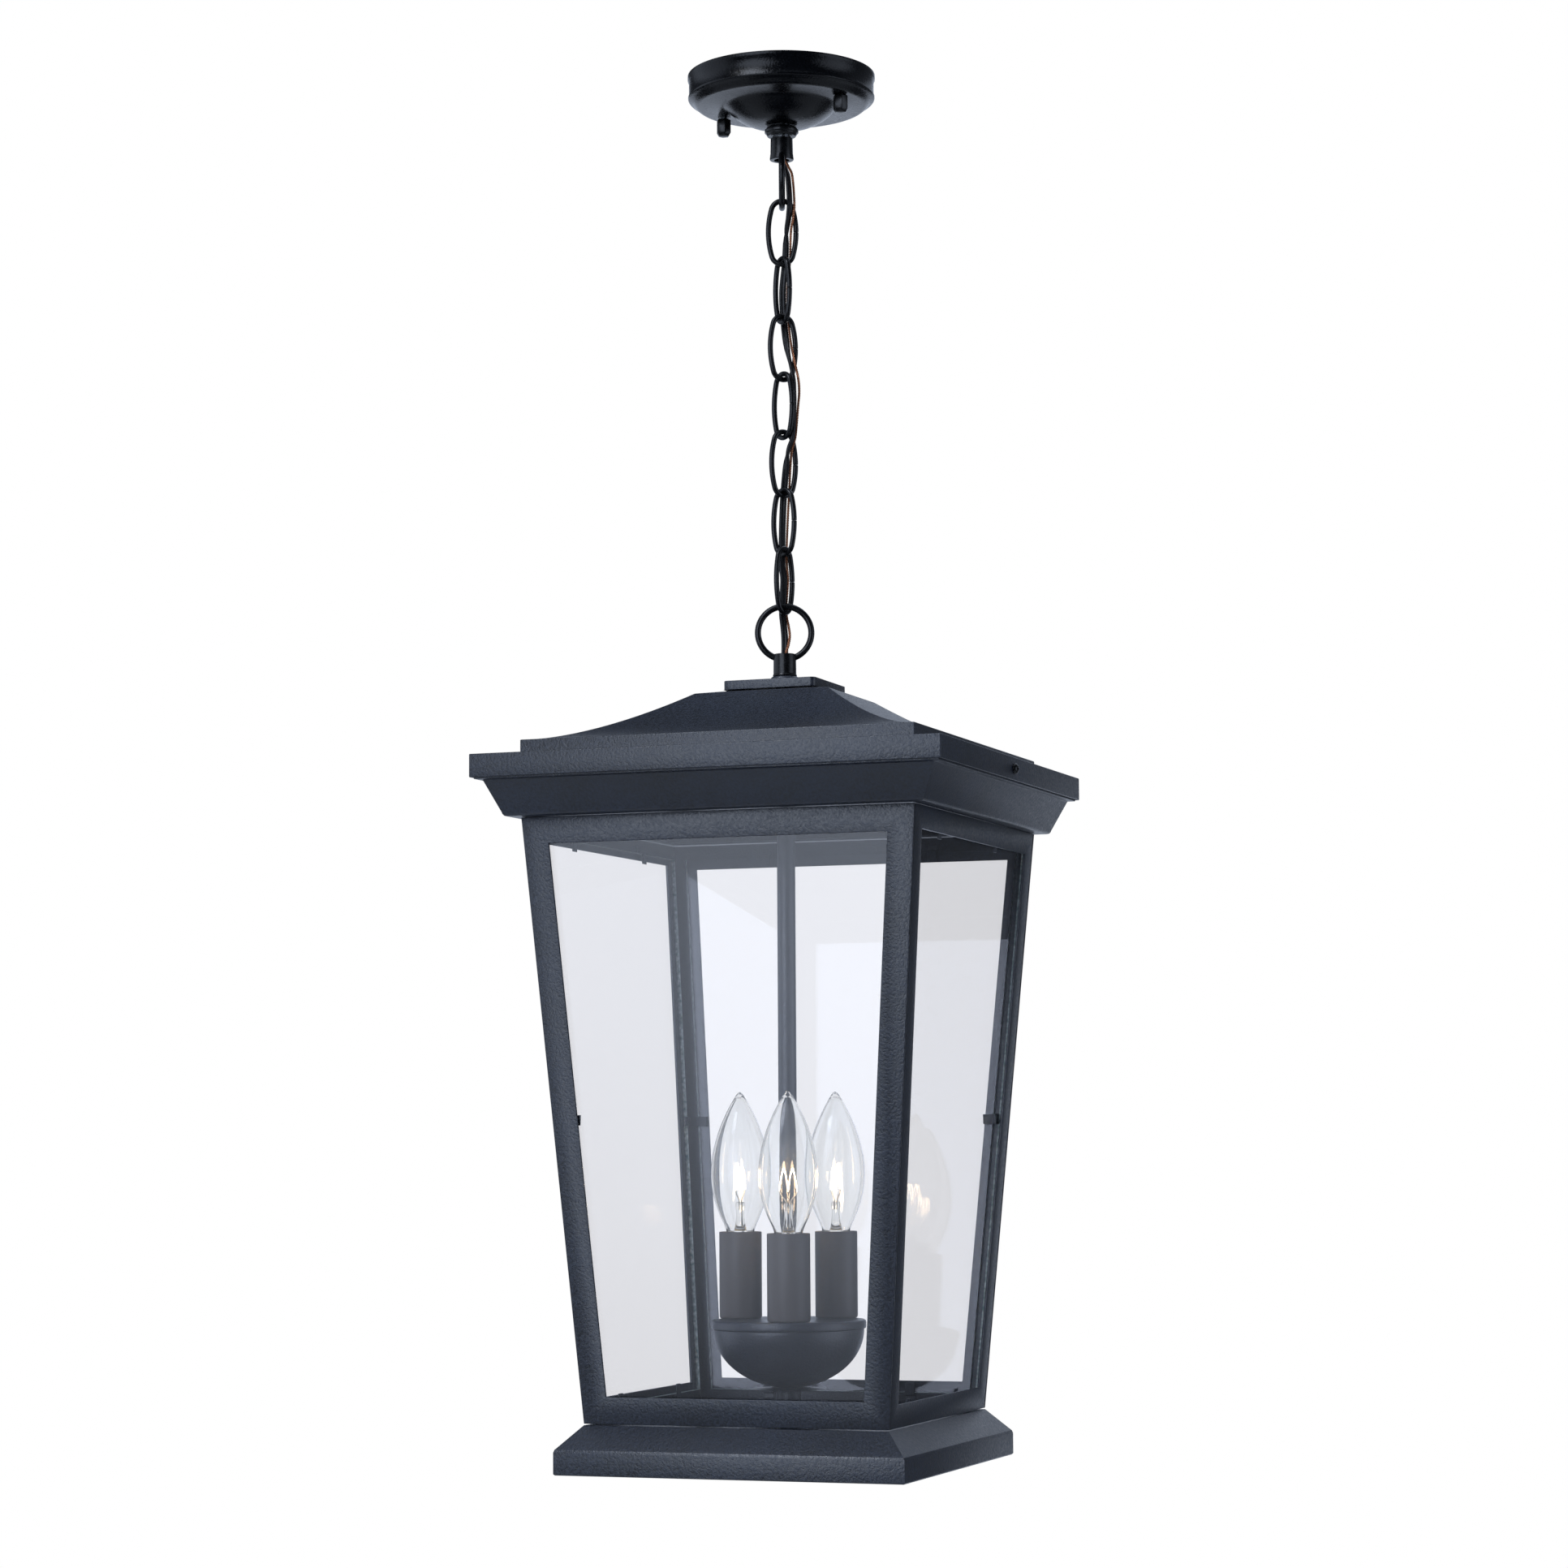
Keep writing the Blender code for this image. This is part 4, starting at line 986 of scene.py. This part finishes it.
# ---------------------------------------------------------------- cove
# A folded steel frame hangs inside the eave. Its cove slopes in to a small rounded lip above the
# glazed body. The eave screws sit in a notch at each side of it.
COVE_HALF = 136.9
COVE_BOTTOM = EAVE_TOP - 35.6
INSIDE_EAVE = EAVE_HALF - SHEET - 0.9
BODY_TOP_HALF = 120.0
cove = [
    (INSIDE_EAVE, EAVE_TOP - 2.2), (INSIDE_EAVE, EAVE_BOTTOM - 0.8), (COVE_HALF, EAVE_BOTTOM - 1.1),
    (128.6, EAVE_TOP - 33.2), (128.2, EAVE_TOP - 34.4), (127.4, EAVE_TOP - 35.3), (126.2, COVE_BOTTOM),
    (BODY_TOP_HALF - 6.0, COVE_BOTTOM),
]
cove_bm = soften(folded(walled(cove, SHEET)), 0.4, 3, 14)
for side in (-1, 1):
    cove_bm = cut_away("notch", cove_bm, slab((8, 4.8, 14.4), (side * (INSIDE_EAVE - 1), 0, SCREW_Z + 4.8)))
piece("folded_cove", cove_bm, black_coat, "cage", ["cove_frame"], 30)


# ---------------------------------------------------------------- window frames, panes and clips
# Four pressed steel frames lean in to the base. The front and back ones lap over the edges of the
# other two. A clear pane lies behind each, held by small bent tabs that are welded to the frame.
BODY_FOOT_HALF = 92.5
FRAME_SHEET = 1.6
BAR_WIDTH = 15.5
PANE_EDGE = BAR_WIDTH - 6.0
GLASS = 2.4
LAP = FRAME_SHEET + 0.6
LEAN = math.atan2(BODY_TOP_HALF - BODY_FOOT_HALF, COVE_BOTTOM - BODY_BOTTOM)
FRAME_LOW = BODY_BOTTOM + 0.8
FRAME_TOP = COVE_BOTTOM - 0.3
CLIP_WIDTH = 6.0
CLIP_GAUGE = 0.8
CLIP_FOOT = 3.6
CLIP_REACH = 7.0
CLIP_SPACING = 46
MIDDLE_HEIGHT = (BODY_BOTTOM + COVE_BOTTOM) / 2


def half_at(height):
    """Half the body's width in mm at a height."""
    share = (height - BODY_BOTTOM) / (COVE_BOTTOM - BODY_BOTTOM)
    return BODY_FOOT_HALF + (BODY_TOP_HALF - BODY_FOOT_HALF) * share


def leaning(low, top, edge, depth):
    """One flat leaning face: its foot and head, the margin at its sides and its depth behind the front."""
    bm = bmesh.new()
    corners = []
    for height, side in ((low, -1), (low, 1), (top, 1), (top, -1)):
        half = half_at(height)
        corners.append(bm.verts.new(Vector((side * (half - edge), -(half - depth), height)) * MM))
    face = bm.faces.new(corners)
    face.normal_update()
    return bm, face


def thicken(bm, thickness):
    """Pushes a leaning sheet inwards, square to its face."""
    inward = Vector((0, math.cos(LEAN), -math.sin(LEAN))) * thickness * MM
    faces = list(bm.faces)
    grown = bmesh.ops.extrude_face_region(bm, geom=faces, use_keep_orig=True)["geom"]
    bmesh.ops.translate(bm, verts=[v for v in grown if isinstance(v, bmesh.types.BMVert)], vec=inward)
    bmesh.ops.recalc_face_normals(bm, faces=bm.faces)


def turned_to(bm, turn):
    """Turns a piece of the front face to another side, by an angle in degrees."""
    bmesh.ops.rotate(bm, verts=bm.verts, cent=(0, 0, 0), matrix=Matrix.Rotation(math.radians(turn), 3, "Z"))
    return bm


def flat_glass(name, tint, reflectance):
    """Clear float glass: a thin grey tint, and a reflection that grows towards a glancing view."""
    made, tree, _ = new_finish(name)
    tree.nodes.clear()
    where = add(tree, "ShaderNodeTexCoord")
    film = add(
        tree,
        "ShaderNodeTexNoise",
        [("Vector", where.outputs["Object"]), ("Scale", 1 / (60 * MM)), ("Detail", 2.0)],
    )
    smear = add(
        tree, "ShaderNodeMapRange", [("Value", film.outputs["Fac"]), ("To Min", 0.0), ("To Max", 0.03)]
    )
    through = add(tree, "ShaderNodeBsdfTransparent", [("Color", linear(tint))])
    gleam = add(
        tree, "ShaderNodeBsdfGlossy", [("Color", linear(reflectance)), ("Roughness", smear.outputs[0])]
    )
    tilt = add(tree, "ShaderNodeLayerWeight", [("Blend", 0.5)])
    glance = add(tree, "ShaderNodeMath", [(0, tilt.outputs["Facing"]), (1, 5.0)], operation="POWER")
    # glass gives back 4% straight on, and much more at a glancing view
    share = add(
        tree, "ShaderNodeMapRange", [("Value", glance.outputs[0]), ("To Min", 0.035), ("To Max", 0.36)]
    )
    both = add(
        tree,
        "ShaderNodeMixShader",
        [(0, share.outputs[0]), (1, through.outputs[0]), (2, gleam.outputs[0])],
    )
    add(tree, "ShaderNodeOutputMaterial", [("Surface", both.outputs[0])])
    return made


def seamed_edge_with_painted_glint(name, colour):
    """The sawn and seamed edge of a pane: a chipped frost in its own dim colour, with painted highlight in
    its pale, bright chips, which stand in for glints along the glass's edge.
    """
    made, tree, shader = new_finish(name)
    where = add(tree, "ShaderNodeTexCoord")
    chips = add(
        tree, "ShaderNodeTexVoronoi", [("Vector", where.outputs["Object"]), ("Scale", 1 / (2.2 * MM))]
    )
    # the pale #dfe8e6 is painted highlight, the edge's glints broken into chips; the given colour is the
    # edge's own dim green
    tint = add(
        tree,
        "ShaderNodeMix",
        [("Factor", chips.outputs["Distance"]), (6, linear("#dfe8e6")), (7, linear(colour))],
        data_type="RGBA",
    )
    relief = add(
        tree,
        "ShaderNodeBump",
        [("Height", chips.outputs["Distance"]), ("Distance", 0.3 * MM), ("Strength", 1.0)],
    )
    tree.links.new(tint.outputs[2], shader.inputs["Base Color"])
    tree.links.new(relief.outputs["Normal"], shader.inputs["Normal"])
    shader.inputs["Roughness"].default_value = 0.35
    return made


pane_glass = flat_glass("float_glass_clear", "#fafafb", "#ffffff")
# the seamed edges are a dim green frost, with painted highlight in pale chips
pane_edge_frost_and_glint = seamed_edge_with_painted_glint("float_glass_seamed_edge_painted_glint", "#5f7b74")


def clip(name, turn, along, up, direction):
    """A bent tab. Its foot lies on the frame beside the pane, and its finger folds over the glass."""
    behind = FRAME_SHEET + GLASS + 0.6
    foot = PANE_EDGE - 0.9
    # in the tab's own axes, x runs from the frame's edge towards the window, and y runs inwards
    profile = [
        (foot - CLIP_FOOT, FRAME_SHEET - 0.1),
        (foot - CLIP_GAUGE, FRAME_SHEET - 0.1),
        (foot, FRAME_SHEET + 0.3),
        (foot, behind - 0.2),
        (foot + 0.4, behind),
        (foot + CLIP_REACH, behind),
        (foot + CLIP_REACH, behind + CLIP_GAUGE),
        (foot, behind + CLIP_GAUGE),
        (foot - CLIP_GAUGE, behind + 0.2),
        (foot - CLIP_GAUGE, FRAME_SHEET + CLIP_GAUGE),
        (foot - CLIP_FOOT, FRAME_SHEET + CLIP_GAUGE),
    ]
    bm = bmesh.new()
    face = bm.faces.new([bm.verts.new((x * MM, y * MM, -CLIP_WIDTH / 2 * MM)) for x, y in profile])
    grown = bmesh.ops.extrude_face_region(bm, geom=[face])["geom"]
    far_end = [v for v in grown if isinstance(v, bmesh.types.BMVert)]
    bmesh.ops.translate(bm, verts=far_end, vec=(0, 0, CLIP_WIDTH * MM))
    bmesh.ops.recalc_face_normals(bm, faces=bm.faces)
    soften(bm, 0.12, 1, 30)
    inward = Vector((0, math.cos(LEAN), -math.sin(LEAN)))
    toward = {
        "foot": Vector((0, -math.sin(LEAN), math.cos(LEAN))),
        "head": Vector((0, math.sin(LEAN), -math.cos(LEAN))),
        "left": Vector((1, 0, 0)),
        "right": Vector((-1, 0, 0)),
    }[direction]
    axes = Matrix((toward, inward, toward.cross(inward))).transposed().to_4x4()
    origin = Vector((along, -half_at(up), up)) * MM
    bmesh.ops.transform(bm, matrix=Matrix.Translation(origin) @ axes, verts=bm.verts)
    bmesh.ops.recalc_face_normals(bm, faces=bm.faces)
    piece(name, turned_to(bm, turn), black_coat, "cage")


for name, turn, edge in (("front", 0, 0.0), ("right", 90, LAP), ("back", 180, 0.0), ("left", 270, LAP)):
    bars, face = leaning(FRAME_LOW, FRAME_TOP, edge, 0.0)
    bmesh.ops.inset_region(
        bars, faces=[face], thickness=(BAR_WIDTH - edge) * MM, use_even_offset=True, use_boundary=True
    )
    bmesh.ops.delete(bars, geom=[face], context="FACES")
    thicken(bars, FRAME_SHEET)
    turned_to(soften(bars, 0.3, 2), turn)
    piece(f"pressed_frame_{name}", bars, black_coat, "cage", [f"frame_{name}"])

    pane, face = leaning(BODY_BOTTOM + PANE_EDGE, COVE_BOTTOM - PANE_EDGE, PANE_EDGE, FRAME_SHEET + 0.3)
    thicken(pane, GLASS)
    made = piece(f"glass_{name}", turned_to(pane, turn), pane_glass, "cage", [f"pane_{name}"])
    # the pane's narrow edge faces take the seamed frost and its painted glints
    made.data.materials.append(pane_edge_frost_and_glint)
    broad = max(p.area for p in made.data.polygons)
    for polygon in made.data.polygons:
        if polygon.area < broad / 4:
            polygon.material_index = 1

    for n, along in enumerate((-CLIP_SPACING, CLIP_SPACING), 1):
        clip(f"bottom_clip_{name}_{n}", turn, along, BODY_BOTTOM, "foot")
        clip(f"top_clip_{name}_{n}", turn, along * 1.2, COVE_BOTTOM, "head")
    for n, way, sign in ((1, "left", -1), (2, "right", 1)):
        clip(f"side_clip_{name}_{n}", turn, sign * half_at(MIDDLE_HEIGHT), MIDDLE_HEIGHT, way)


# ---------------------------------------------------------------- base
# The base is folded from 1.2 mm steel: a slope, a rounded shoulder and an upright band, mitred and
# welded at the corners. A flat plate inside it closes the floor of the cage.
BASE_HALF = 106.0
BASE_BAND_TOP = EAVE_TOP - 399.4
BASE_BOTTOM = EAVE_TOP - 413.9
base = [
    (BODY_FOOT_HALF - 9.0, BODY_BOTTOM),
    (BODY_FOOT_HALF, BODY_BOTTOM),
    (BASE_HALF - 1.6, BASE_BAND_TOP + 1.1),
    (BASE_HALF - 0.6, BASE_BAND_TOP + 0.1),
    (BASE_HALF, BASE_BAND_TOP - 1.5),
    (BASE_HALF, BASE_BOTTOM + 0.8),
    (BASE_HALF - 0.8, BASE_BOTTOM),
    (BASE_HALF - 2.0, BASE_BOTTOM),
]
base_bm = soften(folded(walled(base, SHEET)), 0.4, 3, 18)
piece("folded_base", base_bm, black_coat, "cage", ["base_skirt"], 30)
floor_top = BODY_BOTTOM - SHEET - 0.3
floor_size = 2 * (BODY_FOOT_HALF - 3.0)
piece(
    "floor_sheet",
    slab((floor_size, floor_size, SHEET), (0, 0, floor_top - SHEET / 2), 0.25),
    black_coat,
    "cage",
    ["floor_plate"],
)
